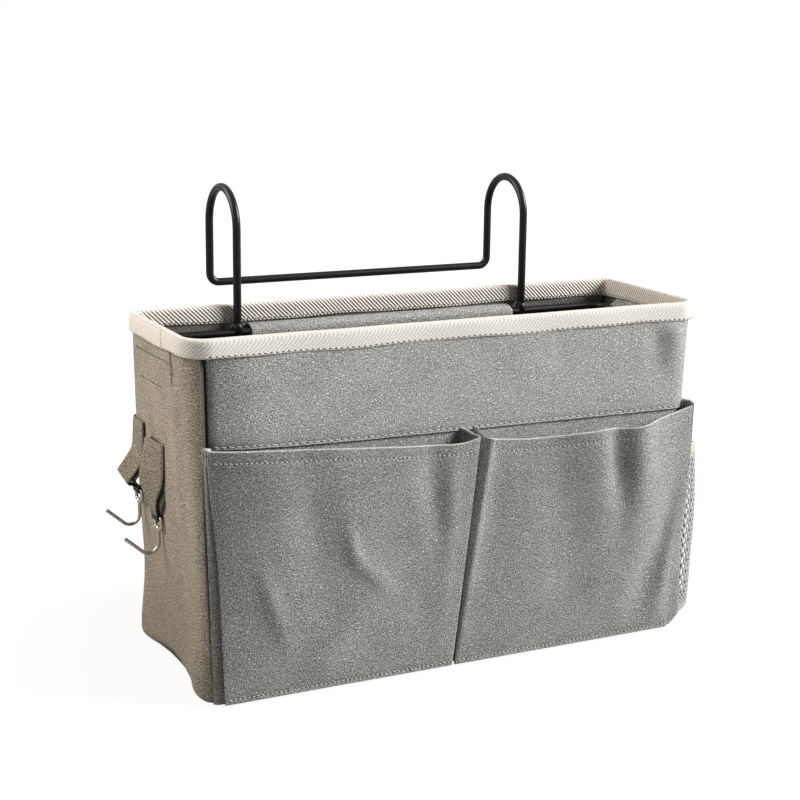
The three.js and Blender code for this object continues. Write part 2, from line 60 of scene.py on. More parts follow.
# The bag's walls, from the frame
TAPE_PROUD = 2.3  # the rim tape's outer face, off the walls' canvas
BINDING_LOW, BINDING_HIGH = node_box("rim_binding")
BASE_LOW, BASE_HIGH = node_box("bottom_panel")
RIM = BINDING_HIGH.z
WALL_TOP = node_box("upper_band")[1].z
FRONT_CORNER_FOOT = 8.0  # radius of the front's upright corners at the base
LEFT_CORNER_RIM, RIGHT_CORNER_RIM = 15.0, 13.0  # and at the rim
BACK_CORNER = 8.0
SEAM_LEFT, SEAM_RIGHT = 0.42, 0.76  # where the seams lie on the front corners, as shares of the quarter turn
SEAM_SWING = 0.65  # how far the left seam comes forward towards the rim
SWING_FROM, SWING_RISE = 60.0, 150.0  # and at what height
RIGHT_LEAN = 6.0  # how far the right end leans out at the rim
LEAN_POWER = 2.5  # how late on its way up

# Cloth and thread
CANVAS = 0.9
LINING = 0.8
TAPE = 0.8
STRAP = 1.1
THREAD = 0.36  # radius of the sewing thread
HOLE_SUNK, HOLE_WIDTH = 0.45, 1.15  # needle holes, as shares of their thread's radius
HOLE_OVERLAP = 0.5  # how far a needle hole runs under its stitches
EDGE_TURNS = ((0.0, 4.2), (0.15, 2.0), (0.9, 0.55))  # a turned edge: distance along, depth into the seam
EDGE_CLEAR = 2.2  # past this distance a turned edge lies flat

# Wire, and the room it takes in the frame
WIRE_RADIUS = 2.5
HANGER_LOW, HANGER_HIGH = node_box("hanger")
FRAME_LOW, FRAME_HIGH = node_box("rim_frame")
HOOK_WIRE_RADIUS = 1.1


def lerp(first, last, share):
    return first + (last - first) * share


def smooth(share):
    """A share from 0 to 1 that starts and stops gently."""
    share = min(max(share, 0.0), 1.0)
    return share * share * (3 - 2 * share)


def swell(distance, spread):
    """A soft bump: 1 at no distance, falling to nothing past about twice the spread."""
    return math.exp(-((distance / spread) ** 2))


def between(value, start, stop):
    """1 between two ends and 0 outside them. Each end is a place and the distance over which it fades."""
    return smooth((value - start[0]) / start[1]) * smooth((stop[0] - value) / stop[1])


def spline(stops, share):
    """A smooth line through evenly counted stops, each a tuple of numbers."""
    place = min(max(share, 0.0), 1.0) * (len(stops) - 1)
    index = min(int(place), len(stops) - 2)
    t = place - index
    before = stops[max(index - 1, 0)]
    first, last = stops[index], stops[index + 1]
    after = stops[min(index + 2, len(stops) - 1)]
    return tuple(
        0.5 * (2 * b + (c - a) * t + (2 * a - 5 * b + 4 * c - d) * t**2 + (3 * b - a - 3 * c + d) * t**3)
        for a, b, c, d in zip(before, first, last, after)
    )


# The bag's section with round corners, walked counter-clockwise seen from above


def half_width(z):
    return lerp(BASE_HIGH.x, BINDING_HIGH.x - TAPE_PROUD, z / RIM)


def right_half(z):
    """From the middle to the right end, which leans out towards the rim."""
    return half_width(z) + RIGHT_LEAN * max(z / RIM, 0.0) ** LEAN_POWER


def front_face(z):
    return lerp(BASE_LOW.y, BINDING_LOW.y + TAPE_PROUD, z / BINDING_LOW.z)


def back_face(z):
    return lerp(BASE_HIGH.y, BINDING_HIGH.y - TAPE_PROUD, z / BINDING_LOW.z)


def wall_point(stretch, share, z, out=0.0):
    """A point on one stretch of the section at height z, moved outwards."""
    mirrored = stretch.endswith("left")
    if mirrored:
        share = 1 - share
        stretch = stretch.replace("left", "right")
    front, back = front_face(z), back_face(z)
    left_round = lerp(FRONT_CORNER_FOOT, LEFT_CORNER_RIM, z / RIM)
    right_round = lerp(FRONT_CORNER_FOOT, RIGHT_CORNER_RIM, z / RIM)
    half, front_round = (half_width(z), left_round) if mirrored else (right_half(z), right_round)
    if stretch == "front":
        x, y = lerp(left_round - half_width(z), half - right_round, share), front - out
    elif stretch == "back":
        x, y = lerp(half - BACK_CORNER, BACK_CORNER - half_width(z), share), back + out
    elif stretch == "right":
        x, y = half + out, lerp(front + front_round, back - BACK_CORNER, share)
    elif stretch == "front_right":
        if mirrored:
            share **= 1 + SEAM_SWING * smooth((z - SWING_FROM) / SWING_RISE)
        angle = (share - 1) * math.pi / 2
        x = half - front_round + (front_round + out) * math.cos(angle)
        y = front + front_round + (front_round + out) * math.sin(angle)
    else:
        angle = share * math.pi / 2
        x = half - BACK_CORNER + (BACK_CORNER + out) * math.cos(angle)
        y = back - BACK_CORNER + (BACK_CORNER + out) * math.sin(angle)
    return Vector((-x if mirrored else x, y, z))


FRONT = (("front_left", 1 - SEAM_LEFT, 1), ("front", 0, 1), ("front_right", 0, SEAM_RIGHT))
RIGHT_END = (("front_right", SEAM_RIGHT, 1), ("right", 0, 1), ("back_right", 0, 0.5))
BACK = (("back_right", 0.5, 1), ("back", 0, 1), ("back_left", 0, 0.5))
LEFT_END = (("back_left", 0.5, 1), ("left", 0, 1), ("front_left", 0, 1 - SEAM_LEFT))
ALL_ROUND = FRONT + RIGHT_END + BACK + LEFT_END


@functools.cache
def stretch_lengths(route):
    """The lengths of a route's stretches, taken half way up the bag."""
    ends = [[wall_point(name, share, RIM / 2) for share in shares] for name, *shares in route]
    return [(last - first).length for first, last in ends]


def walk(route, share, z, out=0.0):
    """The point a share of the way along a route round the bag."""
    lengths = stretch_lengths(route)
    left_over = share * sum(lengths)
    for (name, start, stop), length in zip(route, lengths):
        if left_over <= length or (name, start, stop) == route[-1]:
            return wall_point(name, lerp(start, stop, min(left_over / length, 1.0)), z, out)
        left_over -= length


# Making pieces


def fresh(name, add_shape, **settings):
    """A new mesh, which is the only selected object."""
    bpy.ops.object.select_all(action="DESELECT")
    add_shape(**settings)
    piece = bpy.context.object
    piece.name = name
    return piece


def grid(name, columns, rows):
    """A flat grid of one unit both ways."""
    return fresh(name, bpy.ops.mesh.primitive_grid_add, x_subdivisions=columns, y_subdivisions=rows, size=1.0)


def cloth(name, columns, rows, place, thickness, offset=-1.0, closed=False, levels=1, widest=None, wear=None):
    """A grid of cloth: each of its corners goes to place(column, row), then it gets its thickness. Its cut
    width is measured along its middle row, or along the widest row where one is named. The painted light
    function says how pale (up to 1) or how dark (down to -1) a corner is painted: painted shade, painted
    highlights, and a little abrasion along folds."""
    piece = grid(name, columns, rows)
    mesh = piece.data
    steps = [(round((v.co.x + 0.5) * columns), round((v.co.y + 0.5) * rows)) for v in mesh.vertices]
    points = {step: Vector(place(*step)) for step in steps}
    for vertex, step in zip(mesh.vertices, steps):
        vertex.co = points[step] * MM
    if wear:
        # Painted light: this attribute darkens the cloth for painted shade and pales it for painted
        # highlights.
        rubbed = mesh.attributes.new("wear", "FLOAT", "POINT")
        rubbed.data.foreach_set("value", [wear(*step) for step in steps])
    across = {(0, row): 0.0 for row in range(rows + 1)}
    along = {(column, 0): 0.0 for column in range(columns + 1)}
    for column, row in sorted(points):
        here = points[column, row]
        if column:
            across[column, row] = across[column - 1, row] + (here - points[column - 1, row]).length
        if row:
            along[column, row] = along[column, row - 1] + (here - points[column, row - 1]).length
    weave = mesh.uv_layers.active
    weave.name = "weave"
    for loop in mesh.loops:
        column, row = steps[loop.vertex_index]
        middle = across[columns // 2, row]
        weave.data[loop.index].uv = (across[column, row] - middle, along[column, row])
    if closed:
        bpy.ops.object.mode_set(mode="EDIT")
        bpy.ops.mesh.select_all(action="SELECT")
        bpy.ops.mesh.remove_doubles(threshold=MM / 100)
        bpy.ops.object.mode_set(mode="OBJECT")
    ply = piece.modifiers.new("ply", "SOLIDIFY")
    ply.thickness = thickness * MM
    ply.offset = offset
    bpy.ops.object.modifier_apply(modifier=ply.name)
    if levels:
        soften(piece, levels)
    bpy.ops.object.shade_smooth()
    level = rows // 2 if widest is None else widest
    piece["cut"] = (across[columns, level] * MM, along[columns // 2, rows] * MM)
    return piece


def soften(piece, levels):
    """Rounds a piece off by subdivision."""
    bpy.context.view_layer.objects.active = piece
    surface = piece.modifiers.new("soften", "SUBSURF")
    surface.levels = levels
    surface.render_levels = levels
    bpy.ops.object.modifier_apply(modifier=surface.name)


def cloth_on(name, surface, columns, rows, thickness, **more):
    """A sheet of cloth on a surface, whose own coordinates go from 0 to 1 both ways."""
    return cloth(name, columns, rows, lambda c, r: surface(c / columns, r / rows), thickness, **more)


def finish_piece(piece, material, slot, body="bag", replaces=(), held=None):
    """Gives a piece its material, its body and the nodes that it stands for."""
    piece.data.materials.clear()
    piece.data.materials.append(material)
    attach(piece, body)
    if replaces:
        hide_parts(*replaces)
    if held:
        tuple(piece["cut"])
    return piece


def stitch_row(name, line, pitch, length, material, slot="canvas", radius=THREAD, slant=0.0, holes=True):
    """Short stitches along a line of (point, normal) places, one modelled and the others copied from it, with
    the needle holes between them, dark with painted shadow."""
    first = fresh(name, bpy.ops.mesh.primitive_uv_sphere_add, segments=6, ring_count=5, radius=1.0)
    bpy.ops.object.shade_smooth()
    pattern = first.data.copy()
    reached, places, next_stop = 0.0, [], pitch / 2
    for (start, normal), (stop, _) in zip(line, line[1:]):
        step = (stop - start).length
        while step > 0 and next_stop <= reached + step:
            centre = start.lerp(stop, (next_stop - reached) / step)
            places.append((centre, (stop - start).normalized(), normal.normalized()))
            next_stop += pitch
        reached += step
    copies = []
    for index, (centre, forward, normal) in enumerate(places):
        side = normal.cross(forward).normalized()
        heading = forward * math.cos(slant) + side * math.sin(slant)
        side = normal.cross(heading).normalized()
        turn = Matrix((side * radius, heading * length / 2, normal * radius)).transposed().to_4x4()
        stitch = first if index == 0 else bpy.data.objects.new(name, pattern.copy())
        if index:
            bpy.context.collection.objects.link(stitch)
        stitch.data.transform(Matrix.Scale(MM, 4) @ Matrix.Translation(centre) @ turn)
        copies.append(stitch)
    bpy.ops.object.select_all(action="DESELECT")
    for stitch in copies:
        stitch.select_set(True)
    bpy.context.view_layer.objects.active = first
    bpy.ops.object.join()
    bpy.data.meshes.remove(pattern)
    finish_piece(first, material, slot)
    if holes:
        begun = 0
        while begun < len(line) - 2 and (line[begun][0] - line[0][0]).length < pitch / 2:
            begun += 1
        sunk = [(point - normal * radius * HOLE_SUNK, normal) for point, normal in line[begun:]]
        stitch_row(name + "_holes", sunk, pitch, pitch - length + HOLE_OVERLAP, NEEDLE_HOLE, slot,
                   radius * HOLE_WIDTH, slant, holes=False)


def line_on(surface, first, last, count=80):
    """Places along a line between two pairs of a surface's own coordinates, with the surface's normals."""
    places = []
    nudge = 1e-3
    for step in range(count + 1):
        u, v = (lerp(a, b, step / count) for a, b in zip(first, last))
        point = surface(u, v)
        across = surface(u + nudge, v) - surface(u - nudge, v)
        along = surface(u, v + nudge) - surface(u, v - nudge)
        places.append((point, across.cross(along).normalized()))
    return places


class Wire:
    """A round wire drawn from its first end: straight runs are extruded and bends are spun."""

    def __init__(self, name, radius, start, heading, sides=16):
        section = {"vertices": sides, "radius": radius * MM, "fill_type": "NGON"}
        self.piece = fresh(name, bpy.ops.mesh.primitive_circle_add, **section)
        self.place = Vector(start)
        self.heading = Vector(heading).normalized()
        turn = self.heading.to_track_quat("Z", "Y").to_matrix().to_4x4()
        self.piece.data.transform(Matrix.Translation(self.place * MM) @ turn)
        bpy.ops.object.mode_set(mode="EDIT")
        bpy.ops.mesh.select_all(action="SELECT")

    def run(self, length):
        """Goes straight on."""
        step = self.heading * length
        bpy.ops.mesh.extrude_region_move(TRANSFORM_OT_translate={"value": step * MM})
        self.place += step

    def bend(self, towards, radius, angle, steps):
        """Bends towards a direction at right angles to the heading."""
        inwards = Vector(towards).normalized()
        axis = self.heading.cross(inwards).normalized()
        centre = self.place + inwards * radius
        bpy.ops.mesh.spin(steps=steps, angle=angle, center=centre * MM, axis=-axis)
        turn = Matrix.Rotation(angle, 3, axis)
        self.place = centre + turn @ (self.place - centre)
        self.heading = turn @ self.heading

    def end(self, rounding=0.0):
        """Leaves edit mode with the ends eased and the faces pointing outwards."""
        bpy.ops.mesh.select_all(action="SELECT")
        bpy.ops.mesh.remove_doubles(threshold=MM / 1000)
        bpy.ops.mesh.normals_make_consistent(inside=False)
        if rounding:
            bpy.ops.mesh.select_all(action="DESELECT")
            shape = bmesh.from_edit_mesh(self.piece.data)
            for face in shape.faces:
                face.select_set(len(face.verts) > 4)
            bmesh.update_edit_mesh(self.piece.data)
            bpy.ops.mesh.bevel(offset=rounding * MM, segments=3, affect="EDGES")
        bpy.ops.object.mode_set(mode="OBJECT")
        bpy.ops.object.shade_smooth_by_angle(angle=math.radians(50))
        return self.piece


# Materials


def linear(hex_colour):
    """An sRGB hex colour as linear red, green, blue and alpha."""
    parts = [int(hex_colour[i : i + 2], 16) / 255 for i in (1, 3, 5)]
    return tuple(c / 12.92 if c <= 0.04045 else ((c + 0.055) / 1.055) ** 2.4 for c in parts) + (1.0,)


def set_sockets(tree, node, sockets):
    """Links each named input to a socket, or gives it its value."""
    for name, value in sockets.items():
        if isinstance(value, bpy.types.NodeSocket):
            tree.links.new(value, node.inputs[name])
        else:
            node.inputs[name].default_value = value


def add_node(tree, kind, sockets=None, **settings):
    """Adds a node with its settings and sockets."""
    node = tree.nodes.new("ShaderNode" + kind)
    for name, value in settings.items():
        setattr(node, name, value)
    set_sockets(tree, node, sockets or {})
    return node


def calculate(tree, operation, *values):
    return add_node(tree, "Math", dict(enumerate(values)), operation=operation).outputs[0]


def remap(tree, value, low=0.0, high=1.0, to_low=0.0, to_high=1.0):
    """A value taken from one range to another, and held inside it."""
    ends = {"From Min": low, "From Max": high, "To Min": to_low, "To Max": to_high}
    return add_node(tree, "MapRange", {"Value": value, **ends}).outputs[0]


def blend(tree, share, first, last):
    """A colour between two others."""
    return add_node(tree, "Mix", {"Factor": share, "A": first, "B": last}, data_type="RGBA").outputs["Result"]


def noise(tree, place, size, detail):
    """Soft noise with a grain of a given size."""
    return add_node(tree, "TexNoise", {"Vector": place, "Scale": 1 / size, "Detail": detail}).outputs[0]


def bumps(tree, height, strength, depth):
    """The normal of a bumpy face."""
    return add_node(tree, "Bump", {"Height": height, "Strength": strength, "Distance": depth * MM}).outputs[0]


def new_material(name):
    """An empty material with its principled shader."""
    material = bpy.data.materials.new(name)
    material.use_nodes = True
    tree = material.node_tree
    return material, tree, tree.nodes["Principled BSDF"]


RIDGE = 2.6  # spacing of the tape's ridges
RIDGE_SLOPE = 1.1
TAPE_FLAP = 11.0  # how far the tape reaches down either side of the rim
TAPE_MIDDLE = TAPE_FLAP + 3.5  # from the tape's edge to its fold
TAPE_OUTER_RIDGES = 0.22  # height of the ridges on the tape's outer half, and of their painted shade, as a share of the inner half's
# Painted shade: the dark colour that the cloth is mixed towards in seams, hollows and shaded sides.
PAINTED_SHADE_DARK = "#17130d"
MOTTLE, MOTTLE_DEPTH = 26.0, 0.16  # size of the patches in which the canvas is dyed unevenly, and how much
SLUBS, SPECKS = (1.1, 0.70, 0.74), (1.0, 0.68, 0.76)  # size, and the noise at which one starts and is whole


def canvas_cloth(name, dark, light, slub, pepper, thread=0.48, grain=1.6, contrast=0.05):
    """Cotton and linen canvas in a grey plain weave: matt, with pale slubs and dark specks, painted
    highlights along its folds that are partly abrasion, and painted shade in its seams and hollows. Its
    threads are about
    0.5 mm apart, which is just enough to show at this distance."""
    material, tree, shader = new_material(name)
    weave = add_node(tree, "UVMap", uv_map="weave").outputs["UV"]
    threads = []
    for scale in ((1 / thread, 1 / (grain * thread), 1), (1 / (grain * thread), 1 / thread, 1)):
        laid = add_node(tree, "Mapping", {"Vector": weave, "Scale": scale}).outputs["Vector"]
        threads.append(noise(tree, laid, 1.0, 1.0))
    height = calculate(tree, "ADD", *threads)
    mottle = noise(tree, weave, MOTTLE, 3.0)
    faded = calculate(tree, "MULTIPLY_ADD", mottle, MOTTLE_DEPTH, -MOTTLE_DEPTH / 2)
    tone = remap(tree, calculate(tree, "ADD", height, faded), 1 - contrast, 1 + contrast)
    colour = blend(tree, tone, linear(dark), linear(light))
    for tint, (size, low, high) in ((slub, SLUBS), (pepper, SPECKS)):
        place = {"Vector": weave, "Location": (size * 37, size * 11, 0)}
        shifted = add_node(tree, "Mapping", place).outputs[0]
        colour = blend(tree, remap(tree, noise(tree, shifted, size, 0.0), low, high), colour, linear(tint))
    # Painted light: positive values pale the cloth for painted highlights and some abrasion, negative values
    # darken it for painted shade.
    rubbed = add_node(tree, "Attribute", attribute_name="wear").outputs["Fac"]
    for tint, full_wear, share in ((slub, 1.0, 0.75), (PAINTED_SHADE_DARK, -1.0, 0.92)):
        colour = blend(tree, remap(tree, rubbed, 0.0, full_wear, 0.0, share), colour, linear(tint))
    set_sockets(tree, shader, {
        "Base Color": colour, "Normal": bumps(tree, height, 0.6, 0.4), "Roughness": 0.92,
        "Specular IOR Level": 0.2, "Sheen Weight": 0.06, "Sheen Roughness": 0.5,
    })
    return material


def twill_tape():
    """Herringbone cotton tape: cream, with slanting ridges that meet along its fold and painted brown shade
    between them. Ridges and painted shade are low on its brushed outer half and full on its inner half."""
    material, tree, shader = new_material("cream herringbone cotton tape")
    weave = add_node(tree, "UVMap", uv_map="weave").outputs["UV"]
    laid = add_node(tree, "SeparateXYZ", {"Vector": weave}).outputs
    from_fold = calculate(tree, "SUBTRACT", laid["Y"], TAPE_MIDDLE)
    slope = calculate(tree, "MULTIPLY", calculate(tree, "ABSOLUTE", from_fold), RIDGE_SLOPE)
    turns = calculate(tree, "MULTIPLY", calculate(tree, "ADD", laid["X"], slope), 2 * math.pi / RIDGE)
    ridge_share = remap(tree, from_fold, -3.0, 4.0, TAPE_OUTER_RIDGES)
    raised = calculate(tree, "MULTIPLY", calculate(tree, "SINE", turns), ridge_share)
    height = calculate(tree, "MULTIPLY_ADD", noise(tree, weave, 1.0, 2.0), 1.1, raised)
    # Painted shade: the colour darkens to brown where the ridges dip.
    colour = blend(tree, remap(tree, height, -0.5, 0.75), linear("#94836a"), linear("#f0eee9"))
    set_sockets(tree, shader, {
        "Base Color": colour, "Normal": bumps(tree, height, 0.55, 0.5), "Roughness": 0.9, "Sheen Weight": 0.1,
    })
    return material


def grained(name, dark, light, grain, roughness, bump=0.1, metallic=0.0, specular=0.5):
    """A finish with a fine grain of a real size in millimetres, on the object's own coordinates."""
    material, tree, shader = new_material(name)
    grains = noise(tree, add_node(tree, "TexCoord").outputs["Object"], grain * MM, 2.0)
    set_sockets(tree, shader, {
        "Base Color": blend(tree, grains, linear(dark), linear(light)),
        "Roughness": remap(tree, grains, to_low=roughness * 0.8, to_high=roughness * 1.2),
        "Normal": bumps(tree, grains, bump, 0.2),
        "Metallic": metallic,
        "Specular IOR Level": specular,
    })
    return material


CANVAS_CLOTH = canvas_cloth("grey cotton and linen canvas", "#6a6a68", "#c8c8c5", "#f4f3f0", "#403f3d")
# The left end's canvas is the same grey canvas, painted in a warmer and darker tone of shade.
WARM_SHADE_END_CLOTH = canvas_cloth("grey canvas of the left end in painted warm shade", "#6a645a", "#c2b9a9", "#e6dccf", "#443f36")
STRAP_CLOTH = canvas_cloth("grey canvas of the straps", "#5b564a", "#a8a18f", "#cfc8b6", "#3c382f", 0.4, 3.0)
LINING_CLOTH = canvas_cloth("grey cotton lining", "#504e49", "#827e76", "#b3afa6", "#3a3834")
BINDING_TAPE = twill_tape()
# Powder coat on steel wire: black with a soft highlight broken by a fine orange peel.
BLACK_WIRE = grained("black powder coat on steel wire", "#08080a", "#121214", 0.6, 0.34, 0.15, specular=0.3)
# Bright nickel on drawn wire: mirror-like, with faint drawing marks.
NICKEL = grained("bright nickel plate on steel wire", "#8f8c86", "#cfccc6", 1.2, 0.1, 0.05, 1.0)
# Knitted polyester net: pale, slightly glossy yarn.
NET_YARN = grained("pale knitted polyester net", "#a8a8a5", "#dad9d5", 0.7, 0.6, 0.3)
# Spun polyester sewing thread, a shade paler than the canvas.
GREY_THREAD = grained("pale grey sewing thread", "#bab7ae", "#dedbd3", 0.5, 0.7, 0.3)
CREAM_THREAD = grained("cream sewing thread", "#cfc8b6", "#ece7da", 0.5, 0.7, 0.3)
# Needle holes between the stitches, dark with shadow.
NEEDLE_HOLE = grained("shadowed needle holes", "#141312", "#24221f", 0.5, 0.9)
# Board of pressed paper fibre, matt and mottled.
PAPER_BOARD = grained("pressed fibre board", "#a08a68", "#bda67f", 2.5, 0.9, 0.2)


# Outer canvas


def turned_edge(column, columns, width):
    """Where a column of a sewn panel lies along it, and how deep its turned edge dips into the seam."""
    near = min(column, columns - column)
    turns = len(EDGE_TURNS)
    if near < turns:
        distance, dip = EDGE_TURNS[near]
        return (distance if column == near else width - distance), dip
    flat = columns - 2 * turns
    return lerp(EDGE_CLEAR, width - EDGE_CLEAR, (column - turns) / flat), 0.0


def up_the_wall(share, radius, top):
    """The way up a wall from under its round foot: how far it lies out of the wall's face, and its height."""
    quarter = radius * math.pi / 2
    climb = share * (quarter + top - radius)
    if climb < quarter:
        angle = climb / radius
        return radius * (math.sin(angle) - 1), radius * (1 - math.cos(angle))
    return 0.0, climb - quarter + radius


def soft_waves(share, z, height):
    """The faint unevenness of cloth that stands by itself."""
    slow = math.sin(9 * share + z / 55) + math.sin(17 * share - z / 38 + 1.3)
    return height * (0.5 * slow + 0.3 * math.sin(31 * share + z / 24))


def sewn_panel(name, route, columns, rows, foot, top, lift, painted_shade=None):
    """One panel of the bag, with edges turned into its seams, a round foot and painted shade where it has it.
    """
    width = sum(stretch_lengths(route))

    def spot(column, row):
        distance, dip = turned_edge(column, columns, width)
        share = distance / width
        return share, dip, *up_the_wall(row / rows, foot(share), top)

    def place(column, row):
        share, dip, proud, z = spot(column, row)
        return walk(route, share, z, proud - dip + lift(share, z))

    # Painted shade: dark in the seams, and wherever the panel has more of it.
    def wear(column, row):
        share, _, _, z = spot(column, row)
        return min(seam_wear(column, columns), painted_shade(share, z) if painted_shade else 0.0)

    return cloth(name, columns, rows, place, CANVAS, wear=wear)


def seam_wear(column, columns):
    """Painted shade in the seams at both sides of a panel."""
    return (-1.0, -1.0, -0.8, 0.0)[min(column, columns - column, 3)]


SIDE_SHADE_WIDTH, SIDE_SHADE_DARK = 60.0, 0.27  # the front's painted shade towards its left seam: how wide it is, and how dark at the seam


def painted_side_shade(distance):
    """Painted shade on the front, darker towards its left seam."""
    return -SIDE_SHADE_DARK * smooth(1 - distance / SIDE_SHADE_WIDTH)


END_FOLDS = (  # soft folds of an end: share along, height, spread along, spread in height, depth
    (0.50, 110.0, 0.30, 60.0, 1.4),
    (0.62, 165.0, 0.06, 30.0, -1.0),
    (0.76, 140.0, 0.05, 60.0, 1.2),
    (0.36, 120.0, 0.05, 60.0, -0.9),
    (0.10, 52.0, 0.24, 28.0, -1.5),
    (0.06, 8.0, 0.14, 24.0, 2.4),
    (0.42, 6.0, 0.18, 26.0, -1.8),
    (0.86, 10.0, 0.12, 30.0, 5.0),
)
TUCK_SHARE = 0.755  # where the side sleeve's end is tacked through the end's canvas
TUCK_LOW, TUCK_HIGH = (177.0, 4.0), (202.0, 4.0)  # its ends, each with the height over which it fades
# How deep the tack lies, and how dark its painted shade is.
TUCK_DEPTH, TUCK_SHADE = 1.5, 0.9
RIGHT_FOLDS = 0.3  # how deep the right end's folds are beside the left's
FOOT_SHADE, FOOT_SHADE_HEIGHT = 0.26, 130.0  # how dark the ends' painted shade is at the foot, and how far up it reaches


def tuck_line(z):
    """The crooked line of the tack, a share of the way along the end."""
    return TUCK_SHARE + 0.008 * math.sin(z / 2.1) + 0.005 * math.sin(z / 0.9)


def tuck_depth(along, z):
    """How deep the tack lies at a place on the end, as a share of its depth."""
    return swell(along - tuck_line(z), 0.012) * between(z, TUCK_LOW, TUCK_HIGH)


def end_lift(flip):
    """The folds of an end panel; the right end is the left one seen in a mirror, with flatter folds."""

    def lift(share, z):
        along = 1 - share if flip else share
        folds = sum(
            depth * swell(along - middle, spread) * swell(z - height, rise)
            for middle, height, spread, rise, depth in END_FOLDS
        )
        folds *= RIGHT_FOLDS if flip else 1.0
        return folds + soft_waves(along, z, 0.25) - TUCK_DEPTH * tuck_depth(along, z)

    return lift


def end_painted_shade(flip):
    """Painted shade on an end: dark in its tack and darker towards its foot."""

    def painted_shade(share, z):
        tack = -TUCK_SHADE * tuck_depth(1 - share if flip else share, z)
        return tack - FOOT_SHADE * smooth((FOOT_SHADE_HEIGHT - z) / FOOT_SHADE_HEIGHT)

    return painted_shade


ROLL_LEFT = (32.0, 5.0)  # width of the roll at the front's left seam, and how far it falls back there
ROLL_RIGHT = (18.0, 2.6)
ROLL_HELD, HELD_FROM, HELD_RISE = 0.5, 188.0, 14.0  # the share that the rim's tape holds out, and its height


def front_roll(share, z):
    """How far the front falls back towards the seam at either side; the rim's tape holds it out."""
    width = sum(stretch_lengths(FRONT))
    fall = 0.0
    for distance, (spread, depth) in ((share * width, ROLL_LEFT), ((1 - share) * width, ROLL_RIGHT)):
        fall += depth * max(1 - distance / spread, 0.0) ** 2
    return fall * (1 - ROLL_HELD * smooth((z - HELD_FROM) / HELD_RISE))


def front_lift(share, z):
    """The front's unevenness, with its soft rolls."""
    return soft_waves(share, z, 0.25) - front_roll(share, z)


def back_lift(share, z):
    """The back's unevenness, with a slight hollow where it hangs against the bed."""
    return soft_waves(share, z, 0.3) - 0.5 * swell(share - 0.5, 0.3) * swell(z - 90, 60)


def make_outer_canvas():
    """The front, back and ends, each with a foot of its own radius."""
    front_foot, end_front_foot, back_foot, arched = 3.5, 5.5, 8.0, 5.0

    def end_foot(flip):
        def foot(share):
            along = 1 - share if flip else share
            return lerp(back_foot, end_front_foot, smooth(along)) + arched * swell(along - 0.4, 0.2)

        return foot

    pieces = {
        "front_panel": (FRONT, 60, 40, lambda share: front_foot, front_lift, CANVAS_CLOTH, None),
        "back_panel": (BACK, 60, 40, lambda share: back_foot, back_lift, CANVAS_CLOTH, None),
        "left_panel": (LEFT_END, 120, 90, end_foot(False), end_lift(False), WARM_SHADE_END_CLOTH, end_painted_shade(False)),
        "right_panel": (RIGHT_END, 120, 90, end_foot(True), end_lift(True), CANVAS_CLOTH, end_painted_shade(True)),
    }
    for node, (route, columns, rows, foot, lift, material, painted_shade) in pieces.items():
        panel = sewn_panel(node.replace("panel", "canvas"), route, columns, rows, foot, WALL_TOP, lift, painted_shade)
        finish_piece(panel, material, "canvas", replaces=[node], held="stretched")


def flat_sheet(name, half_x, half_y, height, thickness, round_off=12.0, levels=1):
    """A flat oblong sheet with round corners, whose upper face is given at shares from -1 to 1 both ways."""
    columns, rows = 60, 24

    def place(column, row):
        u, v = column / columns * 2 - 1, row / rows * 2 - 1
        x, y = u * half_x, v * half_y
        over_x, over_y = abs(x) - half_x + round_off, abs(y) - half_y + round_off
        if over_x > 0 and over_y > 0:
            shrink = max(over_x, over_y) / math.hypot(over_x, over_y)
            x = math.copysign(half_x - round_off + over_x * shrink, x)
            y = math.copysign(half_y - round_off + over_y * shrink, y)
        return x, y, height(u, v)

    return cloth(name, columns, rows, place, thickness, levels=levels)


def make_base():
    """The base canvas and the board on it, which lie inside the turn of the walls."""
    bow = 0.2
    base = flat_sheet("base_canvas", BASE_HIGH.x - 10, BASE_HIGH.y - 3,
                      lambda u, v: CANVAS + bow * swell(u, 0.7) * swell(v, 0.7), CANVAS)
    finish_piece(base, CANVAS_CLOTH, "canvas", replaces=["bottom_panel"], held="stretched")
    low, high = node_box("base_board")
    board = flat_sheet("base_board_sheet", high.x - 9, high.y - 1, lambda u, v: high.z, high.z - low.z,
                       round_off=14.0, levels=0)
    finish_piece(board, PAPER_BOARD, "board", replaces=["base_board"])


BAND_OUT = 1.3  # the band's outer face, off the front canvas
BAND_EDGES = ((147.2,), (145.2,), (144.2,), (143.8,), (143.0,), (142.6,))  # its foot, from left to right
BAND_SEAM = 1.6  # its stitches, above its foot
BAND_FOLDS = ((155.0, 8.0, 2.6), (140.0, 7.0, -0.9))  # at its right: x, spread, how far it stands out
FOLDS_LOW, FOLDS_HIGH = (155.0, 35.0), (200.0, 9.0)  # their ends, each with the height over which it fades
# Painted light: how much paler the band is painted than its cloth.
BAND_PAINTED_LIGHT = 0.06


def band_surface(share, up):
    """The outer face of the band that is sewn across the front, by height above its foot."""
    z = spline(BAND_EDGES, share)[0] + up
    rolled = 0.5 * swell(up - BAND_SEAM, 1.0)
    x = walk(FRONT, share, z).x
    folds = sum(depth * swell(x - middle, spread) for middle, spread, depth in BAND_FOLDS)
    folds *= between(z, FOLDS_LOW, FOLDS_HIGH)
    return walk(FRONT, share, z, BAND_OUT + front_lift(share, z) - rolled + folds)


